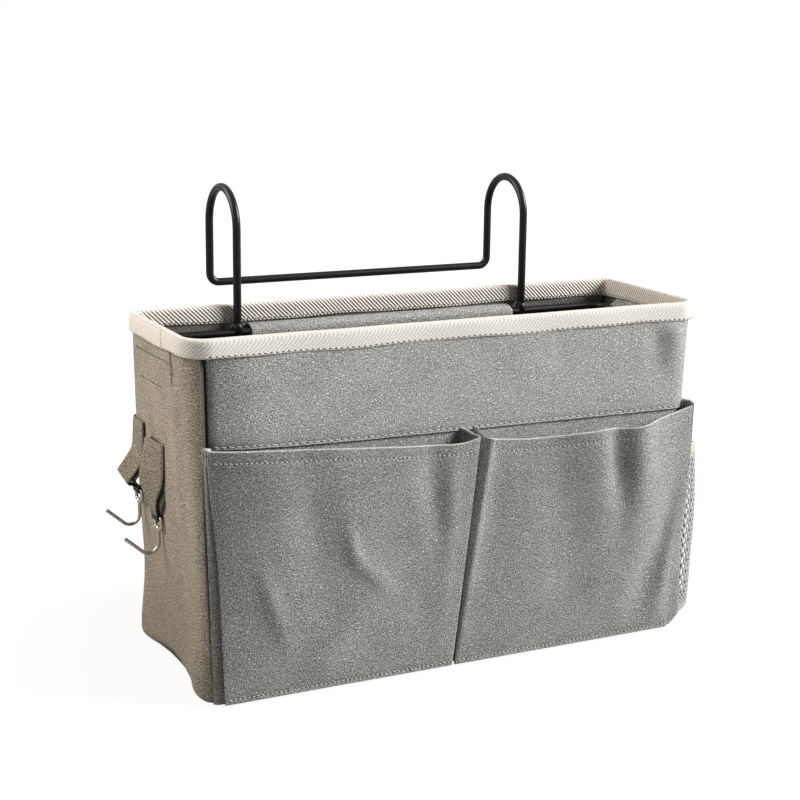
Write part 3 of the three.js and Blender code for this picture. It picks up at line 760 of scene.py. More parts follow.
def make_band():
    width = sum(stretch_lengths(FRONT))
    columns, rows = 130, 36

    def place(column, row):
        distance, dip = turned_edge(column, columns, width)
        share = distance / width
        up = (WALL_TOP - spline(BAND_EDGES, share)[0]) * (row / rows) ** 1.35
        point = band_surface(share, up)
        return point + (walk(FRONT, share, point.z, -dip) - walk(FRONT, share, point.z))

    # Painted shade in its seams and towards its left seam, on a band painted a little paler.
    def wear(column, row):
        return seam_wear(column, columns) or BAND_PAINTED_LIGHT + painted_side_shade(width * column / columns)

    band = cloth("upper_band_canvas", columns, rows, place, CANVAS, wear=wear)
    finish_piece(band, CANVAS_CLOTH, "canvas", replaces=["upper_band"], held="stretched")
    proud = Vector((0, -0.1, 0))
    seam = line_on(band_surface, (0.012, BAND_SEAM), (0.988, BAND_SEAM), 160)
    seam = [(point + proud, normal) for point, normal in seam]
    stitch_row("band_stitches", seam, 4.3, 3.6, GREY_THREAD, slant=math.radians(-7))


# Lining and boards


LINING_INSET = 1.2  # the lining's outer face, in from the ends' canvas
BOARD_SPACE = 1.5  # more, at the front and back, for the boards
LINING_FOOT, LINING_FLOOR = 4.6, 4.4
BOARD, BOARD_INSET = 0.8, 1.7
BOARD_SHORT, BOARD_RISE = 22.0, 9.0  # how far the boards end short of their nodes' sides and foot
PANEL_LIFTS = (
    (FRONT, front_lift), (RIGHT_END, end_lift(True)), (BACK, back_lift), (LEFT_END, end_lift(False)),
)


def wall_lift(share, z):
    """How far the outer canvas stands out of the plain walls, a share of the way round."""
    left_over = share * sum(stretch_lengths(ALL_ROUND))
    for route, lift in PANEL_LIFTS:
        width = sum(stretch_lengths(route))
        if left_over <= width or route is LEFT_END:
            return lift(left_over / width, z)
        left_over -= width


def lining_face(share, z, inwards=0.0):
    """A place on the lining's inner face, a share of the way round."""
    wall = walk(ALL_ROUND, share % 1.0, z)
    outwards = walk(ALL_ROUND, share % 1.0, z, 1.0) - wall
    inset = LINING_INSET + BOARD_SPACE * abs(outwards.y) + LINING + inwards
    return wall - outwards * (inset - min(wall_lift(share % 1.0, z), 0.0))


def make_lining():
    columns, rows = 180, 24

    def place(column, row):
        z = lerp(LINING_FOOT, WALL_TOP - 1, row / rows)
        share = 1 - column / columns
        return lining_face(share, z, 0.1 * math.sin(40 * share + z / 30) - 0.1)

    walls = cloth("lining_walls", columns, rows, place, LINING, closed=True, levels=0)
    finish_piece(walls, LINING_CLOTH, "lining",
                 replaces=["lining_front", "lining_back", "lining_left", "lining_right"],
                 held="stretched")
    floor = flat_sheet("lining_floor", BASE_HIGH.x - 8, BASE_HIGH.y - 4.6,
                       lambda u, v: LINING_FLOOR + 0.4 * swell(u, 0.8), LINING)
    finish_piece(floor, LINING_CLOTH, "lining", replaces=["lining_bottom"], held="stretched")


def make_boards():
    """The boards of the front and back, which end short of the walls' round feet and rolled sides."""
    columns, rows = 40, 24
    for side, face, inwards in (("front", front_face, 1), ("back", back_face, -1)):
        low, high = node_box(side + "_board")
        half = (high.x - BOARD_SHORT) * inwards

        def place(column, row):
            z = lerp(low.z + BOARD_RISE, high.z, row / rows)
            return lerp(-half, half, column / columns), face(z) + BOARD_INSET * inwards, z

        board = cloth(side + "_board_sheet", columns, rows, place, BOARD, levels=0)
        finish_piece(board, PAPER_BOARD, "board", replaces=[side + "_board"])


# Rim tape


TAPE_SECTION = (  # half way round the rim's edge, from the outer flap to the inner: outwards, above the rim
    (2.2, -11.0), (2.3, -7.5), (2.2, -3.6), (1.7, -1.2), (0.3, -0.1),
    (-1.6, 0.1), (-3.6, -0.5), (-4.5, -2.4), (-4.8, -6.0), (-4.7, -11.0),
)
TAPE_JOIN = 0.955  # where the tape's two ends meet, on the left end


def tape_surface(share, across):
    """The outer face of the rim tape: share of the way round, share across the tape."""
    out, up = spline(TAPE_SECTION, across)
    sag = 0.35 * math.sin(46 * share) + 0.25 * math.sin(97 * share + 1)
    loose = 0.25 * math.sin(70 * share + 3 * across)
    return walk(ALL_ROUND, share % 1.0, RIM + up + sag * abs(2 * across - 1), out + loose)


def make_binding():
    columns, rows = 420, 18

    def place(column, row):
        return tape_surface((column % columns) / columns, row / rows)

    tape = cloth("rim_tape", columns, rows, place, TAPE, closed=True)
    finish_piece(tape, BINDING_TAPE, "binding_tape", replaces=["rim_binding"], held="folded")
    for name, across in (("rim_stitches", 0.045), ("rim_inner_stitches", 0.955)):
        line = line_on(tape_surface, (0.0, across), (1.0, across), 500)
        stitch_row(name, line, 3.6, 2.2, CREAM_THREAD, "binding_tape")
    join = line_on(tape_surface, (TAPE_JOIN, 0.02), (TAPE_JOIN, 0.5), 30)
    stitch_row("tape_join_stitches", join, 2.4, 1.6, GREY_THREAD, "binding_tape", 0.3)


# Bellows pockets


POCKET_FOOT = 0.9
FOOT_RISE = 6.0  # how far the right pocket's foot rises at the bag's corner
RISE_FROM, RISE_WIDTH = 152.0, 9.0
BELLY = 0.86  # under 1, a pocket swells out low down
OUTER_WIDTH = 0.6  # how far across a pocket its outer fold is felt
CREASES_FROM, WAVES_FROM = 0.12, 0.1  # how far up a pocket they are whole
MIDDLE_STOP = 9
POCKET_CLOTH = 0.8
HEM = 6.8  # the hem's stitches, below the pocket's top
HEM_TURN = 9.0  # the hem that is turned inside
POCKET_SEAM = 2.6  # the bottom stitches, above the pocket's foot
POCKET_SHADE, FOLD_HIGHLIGHT_AND_ABRASION = 0.17, 0.45  # how dark a pocket's painted shade is, and how pale its folds are painted: painted highlight, partly abrasion
STOP_COLUMNS = 8  # columns of cloth from one stop of a pocket's way to the next

# Each pocket's way from one side seam to the other, with its pleats: x, reach off the front and height along
# its top edge, then x and reach along its foot
LEFT_POCKET = (
    ((-160.2, -2.2, 148.6), (-159.8, -1.2)),
    ((-159.8, 0.7, 149.6), (-156.5, 0.9)),
    ((-158.0, 1.1, 149.2), (-148.5, 0.9)),
    ((-157.6, 2.1, 149.0), (-148.0, 1.6)),
    ((-159.3, 2.9, 148.9), (-153.0, 2.0)),
    ((-159.8, 3.9, 148.9), (-154.2, 2.8)),
    ((-158.2, 4.7, 148.7), (-153.0, 3.5)),
    ((-146.0, 8.0, 148.1), (-142.0, 3.6)),
    ((-121.0, 12.4, 147.1), (-119.0, 3.6)),
    ((-95.0, 14.8, 145.8), (-95.0, 3.6)),
    ((-70.0, 15.8, 144.1), (-72.0, 3.6)),
    ((-46.0, 16.2, 142.5), (-50.0, 3.6)),
    ((-24.0, 16.3, 141.0), (-32.0, 3.6)),
    ((-6.0, 16.6, 140.6), (-17.0, 3.6)),
    ((3.8, 17.1, 142.5), (-9.6, 3.5)),
    ((6.0, 16.4, 143.2), (-8.0, 2.8)),
    ((5.2, 11.0, 143.0), (-9.0, 1.9)),
    ((3.2, 4.0, 144.5), (-10.5, 1.1)),
    ((0.6, 0.6, 145.8), (-12.0, 0.6)),
)
RIGHT_POCKET = (
    ((9.8, 0.6, 146.4), (-2.6, 0.6)),
    ((10.8, 3.2, 145.2), (-4.2, 1.0)),
    ((11.2, 7.4, 142.9), (-5.8, 1.6)),
    ((12.4, 11.4, 141.3), (-6.4, 2.4)),
    ((15.6, 14.0, 140.6), (-5.4, 3.2)),
    ((22.0, 12.6, 139.3), (0.0, 3.6)),
    ((40.0, 13.0, 137.7), (18.0, 3.6)),
    ((60.0, 14.9, 137.5), (42.0, 3.6)),
    ((80.0, 17.3, 138.4), (66.0, 3.6)),
    ((95.6, 18.6, 139.2), (88.0, 3.6)),
    ((108.0, 17.0, 138.2), (104.0, 3.6)),
    ((121.0, 17.0, 139.0), (118.0, 3.6)),
    ((138.0, 11.6, 140.6), (132.0, 3.6)),
    ((155.5, 6.4, 142.3), (143.5, 3.6)),
    ((166.6, 4.8, 144.3), (148.2, 3.5)),
    ((168.6, 4.4, 145.2), (149.6, 2.8)),
    ((168.0, 3.9, 145.9), (148.4, 2.0)),
    ((167.4, 3.1, 146.5), (145.0, 1.6)),
    ((167.0, 2.2, 146.8), (145.6, 0.9)),
    ((165.8, 0.4, 147.0), (156.0, 0.9)),
    ((164.2, -1.0, 147.1), (161.0, 0.2)),
    ((161.4, -4.0, 147.2), (160.0, -2.4)),
)
# Creases: two ends as x and height, half width, and how far the cloth stands out along them
LEFT_CREASES = (
    ((-79.0, 100.0), (-74.0, 76.0), 3.6, 1.9),
    ((-77.0, 82.0), (-52.0, 56.0), 5.0, 1.7),
    ((-131.0, 76.0), (-119.0, 38.0), 4.5, 1.8),
    ((-112.0, 0.0), (-52.0, 66.0), 11.0, 2.8),
    ((-102.0, 132.0), (-97.0, 62.0), 13.0, -2.3),
    ((-26.0, 136.0), (-19.0, 84.0), 9.0, -2.8),
    ((-10.0, 130.0), (-12.0, 30.0), 7.0, 1.9),
)
RIGHT_CREASES = (
    ((99.0, 150.0), (108.0, 96.0), 7.5, -3.3),
    ((119.0, 160.0), (127.0, 78.0), 12.0, 3.3),
    ((156.0, 86.0), (120.0, 14.0), 10.0, -2.9),
    ((164.0, 84.0), (138.0, 8.0), 8.0, 2.7),
    ((19.0, 132.0), (10.0, 40.0), 10.0, -1.5),
    ((0.0, -6.0), (62.0, 52.0), 12.0, 2.1),
    ((58.0, 136.0), (74.0, 44.0), 17.0, -2.4),
)
# How a pocket lies, mostly in shares of its way across: its end at the bag's corner, where the outer fold
# leaves the foot's line and how long it takes on its way up, where its face starts and stops and how softly,
# the stitched part, and the stops whose folds get a painted highlight and some abrasion
PocketLay = collections.namedtuple("PocketLay", "outer_end fold face_start face_stop stitched rubbed")
LEFT_LAY = PocketLay(0, (0.42, 0.55), (0.32, 0.1), (0.76, 0.1), (0.34, 0.79), (5, 15))
RIGHT_LAY = PocketLay(1, (0.0, 0.72), (0.2, 0.1), (0.66, 0.06), (0.2, 0.66), (15,))


def crease_lift(creases, x, z):
    """How far the creases push the cloth out at a place on the pocket; each one fades towards its ends."""
    lift = 0.0
    place = Vector((x, z))
    for first, last, spread, depth in creases:
        start, run = Vector(first), Vector(last) - Vector(first)
        share = (place - start).dot(run) / run.length_squared
        aside = (place - start - run * share).length
        lift += depth * swell(aside, spread) * swell(share - 0.5, 0.55)
    return lift


def pocket_surface(stops, creases, lay):
    """A pocket's outer face: share of the way across, share of the way up."""

    def surface(across, up, inside=0.0):
        top_x, top_reach, top_z = spline([top for top, _ in stops], across)
        foot_x, foot_reach = spline([foot for _, foot in stops], across)
        outer = smooth(1 - abs(across - lay.outer_end) / OUTER_WIDTH)
        folded = smooth((up - lay.fold[0]) / lay.fold[1])
        x = lerp(foot_x, top_x, lerp(up, folded, outer))
        z = lerp(POCKET_FOOT + FOOT_RISE * smooth((foot_x - RISE_FROM) / RISE_WIDTH), top_z, up)
        face = between(across, lay.face_start, lay.face_stop)
        reach = lerp(foot_reach, top_reach, up**BELLY)
        reach += face * smooth(up / CREASES_FROM) * crease_lift(creases, x, z)
        reach += face * smooth(up / WAVES_FROM) * soft_waves(across * 1.7, z, 0.35)
        hem_dip = 0.35 * swell((1 - up) * (top_z - POCKET_FOOT) - HEM, 1.0)
        foot_dip = 0.4 * swell(up * (top_z - POCKET_FOOT) - POCKET_SEAM, 1.3)
        return Vector((x, front_face(z) - reach + (hem_dip + foot_dip) * face + inside, z))

    return surface


def pocket_rows(height):
    """Shares up the pocket for its rows of cloth, close together at its seams and hem."""
    heights = [0.0, 0.9, 1.8, 2.6, 3.4, 4.6, 7.0]
    heights += [lerp(11.0, height - 13.0, step / 44) for step in range(45)]
    heights += [height - drop for drop in (10.6, 8.8, 7.6, 6.8, 6.0, 4.8, 3.2, 1.8, 0.8, 0.3)]
    return [h / height for h in heights]


def make_pocket(name, stops, creases, lay):
    surface = pocket_surface(stops, creases, lay)
    height = stops[MIDDLE_STOP][0][2] - POCKET_FOOT
    rows = [(share, 0.0) for share in pocket_rows(height)]
    rows += [(1.0, 0.25), (1.0 + 0.2 / height, 0.75), (1.0, 1.25)]
    rows += [(1 - drop / height, 1.5) for drop in (1.0, 3.5, 6.5, HEM_TURN)]
    columns = STOP_COLUMNS * (len(stops) - 1)

    def place(column, row):
        share, inside = rows[row]
        return surface(column / columns, share, inside)

    # Painted light: shade over the whole pocket and towards the left seam, and a pale top and folds that are
    # painted highlight and partly abrasion.
    def wear(column, row):
        beside = min(abs(column - STOP_COLUMNS * stop) for stop in lay.rubbed)
        share, inside = rows[row]
        on_top = 0.995 < share and inside < 1.5
        rubbed = 1.0 if on_top else max(1 - beside / 2, 0.0)
        from_seam = surface(column / columns, 0.5).x - LEFT_POCKET[0][0][0]
        return FOLD_HIGHLIGHT_AND_ABRASION * rubbed or painted_side_shade(from_seam) - POCKET_SHADE

    pocket = cloth(name + "_canvas", columns, len(rows) - 1, place, POCKET_CLOTH, wear=wear)
    finish_piece(pocket, CANVAS_CLOTH, "canvas", replaces=[name], held="hung")
    first, last = lay.stitched
    for part, up, pitch, length in (
        ("hem", 1 - HEM / height, 2.9, 2.2),
        ("foot", POCKET_SEAM / height, 2.8, 1.9),
    ):
        line = line_on(surface, (first, up), (last, up), 120)
        stitch_row(f"{name}_{part}_stitches", line, pitch, length, GREY_THREAD, radius=0.34,
                   slant=math.radians(-10))


# Hanger, frame and welds


BAR = Vector((0, HANGER_LOW.y + WIRE_RADIUS, FRAME_HIGH.z - WIRE_RADIUS))
LEG_X = HANGER_HIGH.x - WIRE_RADIUS
CROSS_BEND = 6.0
CROSS_RISE = 7.0  # the rear cross bar, above the rim
WELD_SIZE, WELD_RISE = Vector((3.4, 3.1, 5.2)), 2.2


def make_hanger():
    rear = HANGER_HIGH.y - WIRE_RADIUS
    arch = (rear - BAR.y) / 2
    arch_foot = HANGER_HIGH.z - WIRE_RADIUS - arch
    cross = RIM + CROSS_RISE
    leg = arch_foot - HANGER_LOW.z
    drop = arch_foot - cross - CROSS_BEND
    wire = Wire("wire_hanger", WIRE_RADIUS, (-LEG_X, BAR.y, HANGER_LOW.z), (0, 0, 1))
    wire.run(leg)
    wire.bend((0, 1, 0), arch, math.pi, 28)
    wire.run(drop)
    wire.bend((1, 0, 0), CROSS_BEND, math.pi / 2, 10)
    wire.run(2 * (LEG_X - CROSS_BEND))
    wire.bend((0, 0, 1), CROSS_BEND, math.pi / 2, 10)
    wire.run(drop)
    wire.bend((0, -1, 0), arch, math.pi, 28)
    wire.run(leg)
    finish_piece(wire.end(), BLACK_WIRE, "black_wire", replaces=["hanger"])


def make_frame():
    corner_bend, level_bend = 10.0, 40.0
    slope = math.radians(9.5)
    side = FRAME_HIGH.x - WIRE_RADIUS
    corner = BAR.y - corner_bend
    low_end = FRAME_LOW.y + 0.4
    run = (corner - level_bend * math.sin(slope) - low_end) / math.cos(slope)
    drop = run * math.sin(slope) + level_bend * (1 - math.cos(slope))
    start = (-side, low_end, BAR.z - drop)
    wire = Wire("rim_wire", WIRE_RADIUS, start, (0, math.cos(slope), math.sin(slope)))
    wire.run(run)
    wire.bend((0, math.sin(slope), -math.cos(slope)), level_bend, slope, 4)
    wire.bend((1, 0, 0), corner_bend, math.pi / 2, 12)
    wire.run(2 * (side - corner_bend))
    wire.bend((0, -1, 0), corner_bend, math.pi / 2, 12)
    wire.bend((0, 0, -1), level_bend, slope, 4)
    wire.run(run)
    finish_piece(wire.end(0.5), BLACK_WIRE, "black_wire", replaces=["rim_frame"])


def make_welds():
    for name, side in (("left_weld", -1), ("right_weld", 1)):
        ball = {"segments": 20, "ring_count": 14, "radius": 1.0}
        bead = fresh(name + "_bead", bpy.ops.mesh.primitive_uv_sphere_add, **ball)
        for vertex in bead.data.vertices:
            lump = 1 + 0.09 * math.sin(5 * vertex.co.x + side) * math.cos(4 * vertex.co.z)
            flare = 1 + 0.5 * swell(vertex.co.z + 0.7, 0.5)
            shaped = Vector(c * s for c, s in zip(vertex.co, WELD_SIZE)) * lump
            shaped.x *= flare
            vertex.co = (shaped + Vector((side * LEG_X, BAR.y, BAR.z + WELD_RISE))) * MM
        bpy.ops.object.shade_smooth()
        finish_piece(bead, BLACK_WIRE, "black_wire", replaces=[name])


# Sleeves inside the rim


SLEEVE_GAP = 0.4  # between the lining and a sleeve
OVER_WIRE, OVER_SPREAD = 6.0, 5.5  # how far a side sleeve stands out over the wire, and how softly


def make_back_sleeve():
    low, high = node_box("back_sleeve")
    wall = back_face(high.z) - LINING_INSET - BOARD_SPACE - LINING - SLEEVE_GAP
    section = (
        (wall + 0.1, high.z + 1.2), (wall - 2.0, high.z + 0.6),
        (BAR.y - 2.4, BAR.z + 2.6), (BAR.y - 3.5, BAR.z - 0.4), (BAR.y - 2.4, BAR.z - 4.0),
        (wall - 1.2, low.z - 1.0), (wall + 0.4, low.z - 4.0),
    )

    def surface(share, down):
        y, z = spline(section, 1 - down)
        x = lerp(low.x, high.x, share)
        return Vector((x, y + 0.25 * math.sin(x / 9) * math.sin(math.pi * down), z))

    sleeve = cloth_on("back_sleeve_canvas", surface, 70, 24, CANVAS)
    finish_piece(sleeve, CANVAS_CLOTH, "canvas", replaces=["back_sleeve"], held="hung")
    seam = line_on(surface, (0.01, 0.12), (0.99, 0.12), 90)
    stitch_row("back_sleeve_stitches", seam, 3.2, 2.4, GREY_THREAD, radius=0.3)
    for end, share in (("left", 0.04), ("right", 0.96)):
        hem = line_on(surface, (share, 0.2), (share, 0.95), 30)
        stitch_row(f"back_sleeve_{end}_hem", hem, 2.6, 1.9, GREY_THREAD, radius=0.3)


def make_side_sleeve(name, side):
    low, high = node_box(name)

    def surface(share, up):
        y = lerp(high.y, low.y, share) if side > 0 else lerp(low.y, high.y, share)
        z = lerp(low.z, high.z, up)
        arm_z = lerp(FRAME_LOW.z + WIRE_RADIUS, BAR.z, (y - FRAME_LOW.y) / (BAR.y - FRAME_LOW.y))
        wall = right_half(z) if side > 0 else half_width(z)
        over_wire = (OVER_WIRE + wall - half_width(z)) * swell(z - arm_z, OVER_SPREAD)
        return Vector((side * (wall - LINING_INSET - LINING - SLEEVE_GAP - over_wire), y, z))

    sleeve = cloth_on(name + "_canvas", surface, 34, 22, CANVAS)
    finish_piece(sleeve, CANVAS_CLOTH, "canvas", replaces=[name], held="hung")


def make_sleeve_stitches(name, route, flip):
    """The stitches that hold a side sleeve, seen outside its end as dark dots of painted shadow."""
    lift = end_lift(flip)

    def surface(share, z):
        along = 1 - share if flip else share
        return walk(route, along, z, lift(along, z) + 0.05)

    rows = {"upper": ((0.10, 190.5), (0.74, 191.5)), "lower": ((0.18, 174.0), (0.55, 174.5))}
    for row, (first, last) in rows.items():
        line = line_on(surface, first, last, 40)
        if flip:
            line = [(point, -normal) for point, normal in line]
        stitch_row(f"{name}_{row}_stitches", line, 3.9, 1.6, NEEDLE_HOLE, radius=0.45, holes=False)


# Hook tabs and hooks


# The straps' outer ply from the eye to its top, at its rear and front edges: y off the eye, outwards, and
# height above the eye
STRAP_FRONT = (
    ((4.2, 5.2, 2.0), (-4.2, 4.8, 2.0)),
    ((5.4, 6.6, 6.5), (-4.6, 5.0, 7.0)),
    ((8.8, 8.2, 13.0), (-6.2, 4.2, 13.0)),
    ((12.6, 9.2, 22.5), (-12.4, 2.6, 23.0)),
    ((12.8, 6.8, 34.0), (-13.2, 1.6, 36.0)),
    ((12.8, 4.2, 46.5), (-13.2, 1.3, 46.5)),
)
STRAP_REAR = (
    ((4.2, 5.2, 1.6), (-4.2, 4.8, 1.4)),
    ((5.2, 9.2, 5.6), (-5.4, 7.6, 3.6)),
    ((6.8, 12.9, 10.6), (-7.6, 10.9, 4.8)),
    ((6.9, 13.0, 12.6), (-7.9, 11.2, 6.4)),
    ((7.2, 8.4, 18.3), (-9.6, 6.6, 13.0)),
    ((9.2, 3.6, 24.5), (-11.2, 2.9, 20.5)),
    ((11.4, 2.0, 34.0), (-12.0, 1.8, 32.0)),
    ((12.0, 1.4, 44.0), (-12.0, 1.4, 44.0)),
)


def hook_eye(name):
    """The middle of a hook's hinge."""
    return Vector(next(joint for joint in frame["joints"] if joint["child"] == name)["pos_m"]) / MM


def make_tab(name, edges):
    """A strap doubled on itself, sewn to the end above and gathered round the hook's eye below."""
    low, high = node_box(name + "_tab")
    half = (high.y - low.y) / 2
    eye = hook_eye(name)
    eye_out = -eye.x - half_width(eye.z)
    ring, narrow, inner = 2.1, 4.2, 0.9  # radius of the loop, half its width, and the inner ply off the end
    ply_steps, loop_steps = 7, 6
    rear, front = [], []
    for step in range(ply_steps + 1):
        up = lerp(edges[-1][0][2], 2.0, step / ply_steps)
        width = lerp(half, narrow, smooth((11 - up) / 9))
        slack = inner + (edges[2][0][1] - 6) * swell(up - 8, 6.0)
        rear.append((width, slack, up))
        front.append((-width, slack, up))
    for step in range(loop_steps):
        angle = math.pi + step * math.pi / loop_steps
        turn = (eye_out + ring * math.cos(angle), ring * math.sin(angle))
        rear.append((narrow, *turn))
        front.append((-narrow, *turn))
    turned = len(rear)
    rear += [at for at, _ in edges]
    front += [at for _, at in edges]
    columns, rows = 14, 100

    def surface(share, along):
        side_y, out, up = (lerp(a, b, share) for a, b in zip(spline(rear, along), spline(front, along)))
        y, z = eye.y + side_y, eye.z + up
        round_back = max(y - back_face(z) + BACK_CORNER, 0.0)
        wrap = BACK_CORNER - math.sqrt(max(BACK_CORNER**2 - round_back**2, 0.0))
        bunch = 0.5 * math.cos(5 * math.pi * share) * swell(up, 5.0)
        return Vector((-half_width(z) - out - bunch + wrap, y, z))

    def wear(column, row):
        """Painted shade between the two plies and along the front edge, and a painted highlight along the
        rear one.
        """
        if row / rows < turned / (len(rear) - 1):
            return -0.8
        return {0: 0.3, columns - 1: -0.4, columns: -0.9}.get(column, 0.0)

    tab = cloth_on(name + "_strap", surface, columns, rows, STRAP, offset=0.0, widest=0, wear=wear)
    finish_piece(tab, STRAP_CLOTH, "canvas", replaces=[name + "_tab"], held="folded")
    outwards = Vector((-1, 0, 0))
    proud = outwards * (STRAP / 2 + 0.05)
    top, foot = 0.985, lerp(turned / (len(rear) - 1), 1.0, 0.72)
    for row, first, last in (
        ("front", (0.86, top), (0.86, foot)),
        ("rear", (0.14, top), (0.14, foot)),
        ("foot", (0.14, foot), (0.86, foot)),
        ("top", (0.14, top), (0.86, top)),
    ):
        line = [(point + proud, outwards) for point, _ in line_on(surface, first, last, 30)]
        stitch_row(f"{name}_tab_{row}_stitches", line, 3.0, 2.2, GREY_THREAD, radius=0.3)


HOOK_EYE_WIDTH, HOOK_EYE_HEIGHT, HOOK_EYE_BEND = 10.5, 7.0, 1.6
HOOK_EYE_GAP = 1.7  # where the eye's wire ends beside the shank
HOOK_SHANK, HOOK_BEND, HOOK_TURN, HOOK_TIP = 9.0, 6.0, math.radians(131), 14.0


def make_hook(name):
    """A hook of plated wire: its tip, bend and shank, then the eye that hangs in the strap."""
    eye = hook_eye(name)
    bend_centre = eye + Vector((-HOOK_BEND, 0, -HOOK_EYE_HEIGHT - HOOK_SHANK))
    curve_end = bend_centre + HOOK_BEND * Vector((math.cos(HOOK_TURN), 0, -math.sin(HOOK_TURN)))
    outwards = Vector((-math.sin(HOOK_TURN), 0, -math.cos(HOOK_TURN)))
    tip = curve_end + outwards * HOOK_TIP
    wire = Wire(name + "_wire", HOOK_WIRE_RADIUS, tip, -outwards, 14)
    wire.run(HOOK_TIP)
    wire.bend(bend_centre - curve_end, HOOK_BEND, HOOK_TURN, 22)
    wire.run(HOOK_SHANK - HOOK_EYE_BEND)
    wire.bend((0, 1, 0), HOOK_EYE_BEND, math.pi / 2, 8)
    side = HOOK_EYE_WIDTH / 2 - 2 * HOOK_EYE_BEND
    rise = HOOK_EYE_HEIGHT - 2 * HOOK_EYE_BEND
    wire.run(side)
    for turn, length in (((0, 0, 1), rise), ((0, -1, 0), HOOK_EYE_WIDTH - 2 * HOOK_EYE_BEND),
                         ((0, 0, -1), rise), ((0, 1, 0), HOOK_EYE_WIDTH / 2 - HOOK_EYE_BEND - HOOK_EYE_GAP)):
        wire.bend(turn, HOOK_EYE_BEND, math.pi / 2, 8)
        wire.run(length)
    finish_piece(wire.end(0.35), NICKEL, "plated_steel", body=name, replaces=[name])


# Net pocket


NET_SECTION = (  # plan of the net round the right end: outwards as a share of its reach, y
    (0.0, -47.5), (0.45, -48.0), (0.88, -47.6), (1.0, -44.0), (1.0, -22.0), (1.02, 0.0),
    (1.0, 22.0), (1.0, 44.5), (0.88, 48.6), (0.45, 49.0), (0.0, 48.5),
)
NET_REACH = (  # from its foot to its top: how far it stands off the end, as a share of its depth, and height
    (0.08, 1.2), (0.6, 2.0), (0.92, 5.0), (1.0, 13.0), (1.0, 40.0), (1.0, 66.0), (0.88, 92.0), (0.68, 116.0),
)
NET_DEPTH, NET_GAP = 17.0, 0.8
NET_CELLS, NET_STRAND = 27, 1.3  # cells both ways, and how thick a strand is


def net_point(share, up, out=0.0, rise=0.0):
    """A place on the net: share of the way round its plan, share of the way up from its foot."""
    outwards, y = spline(NET_SECTION, share)
    reach, z = spline(NET_REACH, up)
    return Vector((right_half(z) + NET_GAP + outwards * (reach * NET_DEPTH + out), y, z + rise))


def make_net():
    """Diamond cells: a grid whose squares are poked, with the squares' own edges dissolved, then strands."""
    net = grid("net_pocket_net", NET_CELLS, NET_CELLS)
    corners = len(net.data.vertices)
    bpy.ops.object.mode_set(mode="EDIT")
    bpy.ops.mesh.select_all(action="SELECT")
    bpy.ops.mesh.poke()
    bpy.ops.mesh.select_all(action="DESELECT")
    shape = bmesh.from_edit_mesh(net.data)
    shape.select_mode = {"EDGE"}
    for edge in shape.edges:
        square = all(vertex.index < corners for vertex in edge.verts)
        edge.select_set(square and not edge.is_boundary)
    bmesh.update_edit_mesh(net.data)
    bpy.ops.mesh.dissolve_edges(use_verts=False)
    bpy.ops.object.mode_set(mode="OBJECT")
    for vertex in net.data.vertices:
        vertex.co = net_point(vertex.co.x + 0.5, vertex.co.y + 0.5) * MM
    strands = net.modifiers.new("strands", "WIREFRAME")
    strands.thickness = NET_STRAND * MM
    strands.use_boundary = True
    bpy.ops.object.modifier_apply(modifier=strands.name)
    soften(net, 1)
    bpy.ops.object.shade_smooth()
    finish_piece(net, NET_YARN, "net", replaces=["net_face", "net_front_gusset", "net_rear_gusset"])


def make_net_tape():
    """The tape folded over the net's top edge."""
    section = ((1.2, -9.5), (1.3, -5.0), (1.1, -0.6), (0.0, 0.6), (-1.1, -0.6), (-1.3, -5.0), (-1.2, -9.5))

    def surface(share, across):
        out, up = spline(section, across)
        return net_point(share, 1.0, out, up + 0.5)

    tape = cloth_on("net_top_tape", surface, 90, 14, TAPE)
    finish_piece(tape, BINDING_TAPE, "binding_tape", replaces=["net_tape"], held="folded")
    seam = line_on(surface, (0.02, 0.1), (0.98, 0.1), 90)
    stitch_row("net_tape_stitches", seam, 3.2, 2.3, CREAM_THREAD, "binding_tape", 0.3)


# Studio


LENS, SENSOR = 75.26, 36.0
FLOOR_MIRRORED, WORLD_MIRRORED = 0.15, 0.6  # how white each shows in reflections
WORLD_LIGHT = 0.14  # how strongly the world lights the object
FLOOR_NEAR, FLOOR_FAR, FLOOR_DIM = 0.2, 0.6, 0.88  # the floor is dimmer near the bag: metres, and glow there
CAMERA_PLACE = Vector((-465.8, -901.5, 386.5))
CAMERA_YAW, CAMERA_PITCH, CAMERA_ROLL = (math.radians(angle) for angle in (26.70, 13.07, 0.74))


def set_camera():
    """A camera where the photograph's stood, found from the bag's corners and the hanger."""
    bpy.ops.object.camera_add()
    camera = bpy.context.object
    camera.data.lens = LENS
    camera.data.sensor_width = SENSOR
    camera.data.clip_end = 20
    yaw, pitch, roll = CAMERA_YAW, CAMERA_PITCH, CAMERA_ROLL
    forward = Vector((math.sin(yaw) * math.cos(pitch), math.cos(yaw) * math.cos(pitch), -math.sin(pitch)))
    level = Vector((math.cos(yaw), -math.sin(yaw), 0))
    upright = level.cross(forward)
    right = level * math.cos(roll) + upright * math.sin(roll)
    up = upright * math.cos(roll) - level * math.sin(roll)
    turn = Matrix((right, up, -forward)).transposed().to_4x4()
    camera.matrix_world = Matrix.Translation(CAMERA_PLACE * MM) @ turn
    bpy.context.scene.camera = camera


def seen_white(tree, mirrored):
    """How white the studio shows: wholly to the camera, partly in reflections."""
    path = add_node(tree, "LightPath").outputs
    return calculate(tree, "MULTIPLY_ADD", path["Is Glossy Ray"], mirrored, path["Is Camera Ray"])


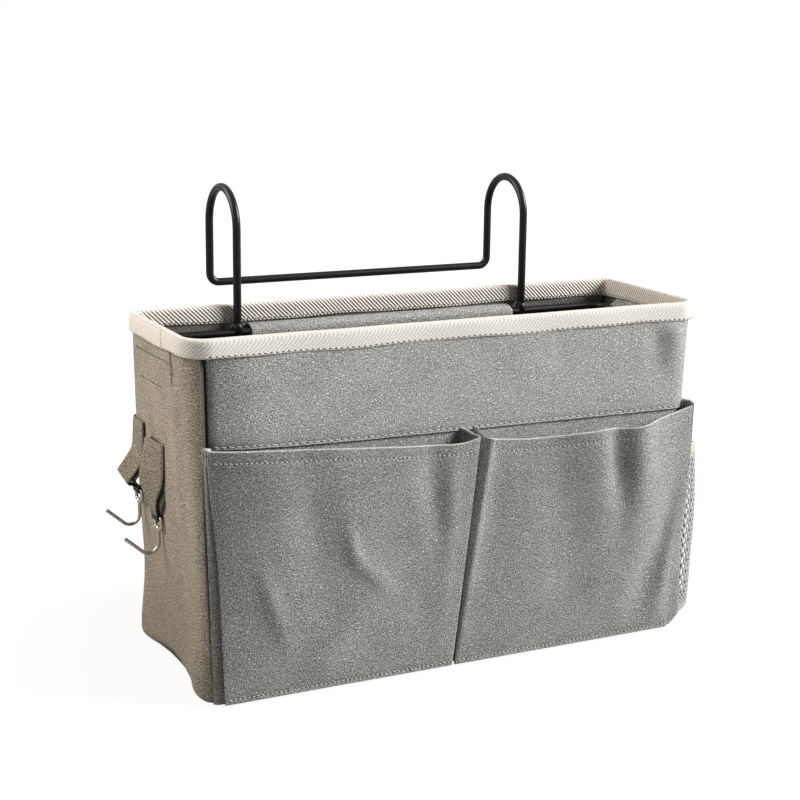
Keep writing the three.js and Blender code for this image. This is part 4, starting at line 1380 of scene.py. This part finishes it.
def set_floor():
    """A pale floor that shows white, with the object's soft shadow on it."""
    floor = fresh("studio_floor", bpy.ops.mesh.primitive_plane_add, size=16.0, location=(0, 0, 0))
    material = bpy.data.materials.new("matt white paper floor")
    material.use_nodes = True
    tree = material.node_tree
    tree.nodes.clear()
    plain = add_node(tree, "BsdfDiffuse", {"Color": linear("#adadab")})
    shaded = add_node(tree, "BsdfDiffuse", {"Color": (0.13, 0.13, 0.13, 1.0)})
    place = add_node(tree, "TexCoord").outputs["Object"]
    away = add_node(tree, "VectorMath", {0: place}, operation="LENGTH").outputs["Value"]
    bright = remap(tree, away, FLOOR_NEAR, FLOOR_FAR, FLOOR_DIM)
    glow = add_node(tree, "Emission", {"Color": (1, 1, 1, 1), "Strength": bright})
    white = add_node(tree, "AddShader", {0: shaded.outputs[0], 1: glow.outputs[0]})
    seen = seen_white(tree, FLOOR_MIRRORED)
    mixed = add_node(tree, "MixShader", {0: seen, 1: plain.outputs[0], 2: white.outputs[0]})
    add_node(tree, "OutputMaterial", {"Surface": mixed.outputs[0]})
    floor.data.materials.append(material)


def add_light(name, place, size, power, colour):
    """A soft square lamp that faces the middle of the bag."""
    bpy.ops.object.light_add(type="AREA", location=place)
    lamp = bpy.context.object
    lamp.name = name
    lamp.data.size = size
    lamp.data.energy = power
    lamp.data.color = linear(colour)[:3]
    lamp.rotation_euler = (Vector((0, 0, 0.1)) - Vector(place)).to_track_quat("-Z", "Y").to_euler()


def set_light():
    add_light("key", (3.95, -1.85, 2.45), 1.9, 400, "#fffefc")
    add_light("fill", (-0.85, 0.42, 0.78), 0.8, 12.4, "#fff5ea")
    world = bpy.data.worlds.new("studio")
    bpy.context.scene.world = world
    world.use_nodes = True
    tree = world.node_tree
    ground = tree.nodes["Background"]
    ground.inputs["Color"].default_value = (1, 1, 1, 1)
    strength = remap(tree, seen_white(tree, WORLD_MIRRORED), to_low=WORLD_LIGHT)
    tree.links.new(strength, ground.inputs["Strength"])
    bpy.context.scene.view_settings.view_transform = "Standard"


set_camera()
make_outer_canvas()
make_base()
make_band()
make_lining()
make_boards()
make_binding()
make_pocket("left_pocket", LEFT_POCKET, LEFT_CREASES, LEFT_LAY)
make_pocket("right_pocket", RIGHT_POCKET, RIGHT_CREASES, RIGHT_LAY)
make_hanger()
make_frame()
make_welds()
make_back_sleeve()
make_side_sleeve("left_sleeve", -1)
make_side_sleeve("right_sleeve", 1)
make_sleeve_stitches("left_end", LEFT_END, False)
make_sleeve_stitches("right_end", RIGHT_END, True)
make_tab("front_hook", STRAP_FRONT)
make_tab("rear_hook", STRAP_REAR)
make_hook("front_hook")
make_hook("rear_hook")
make_net()
make_net_tape()
set_floor()
set_light()
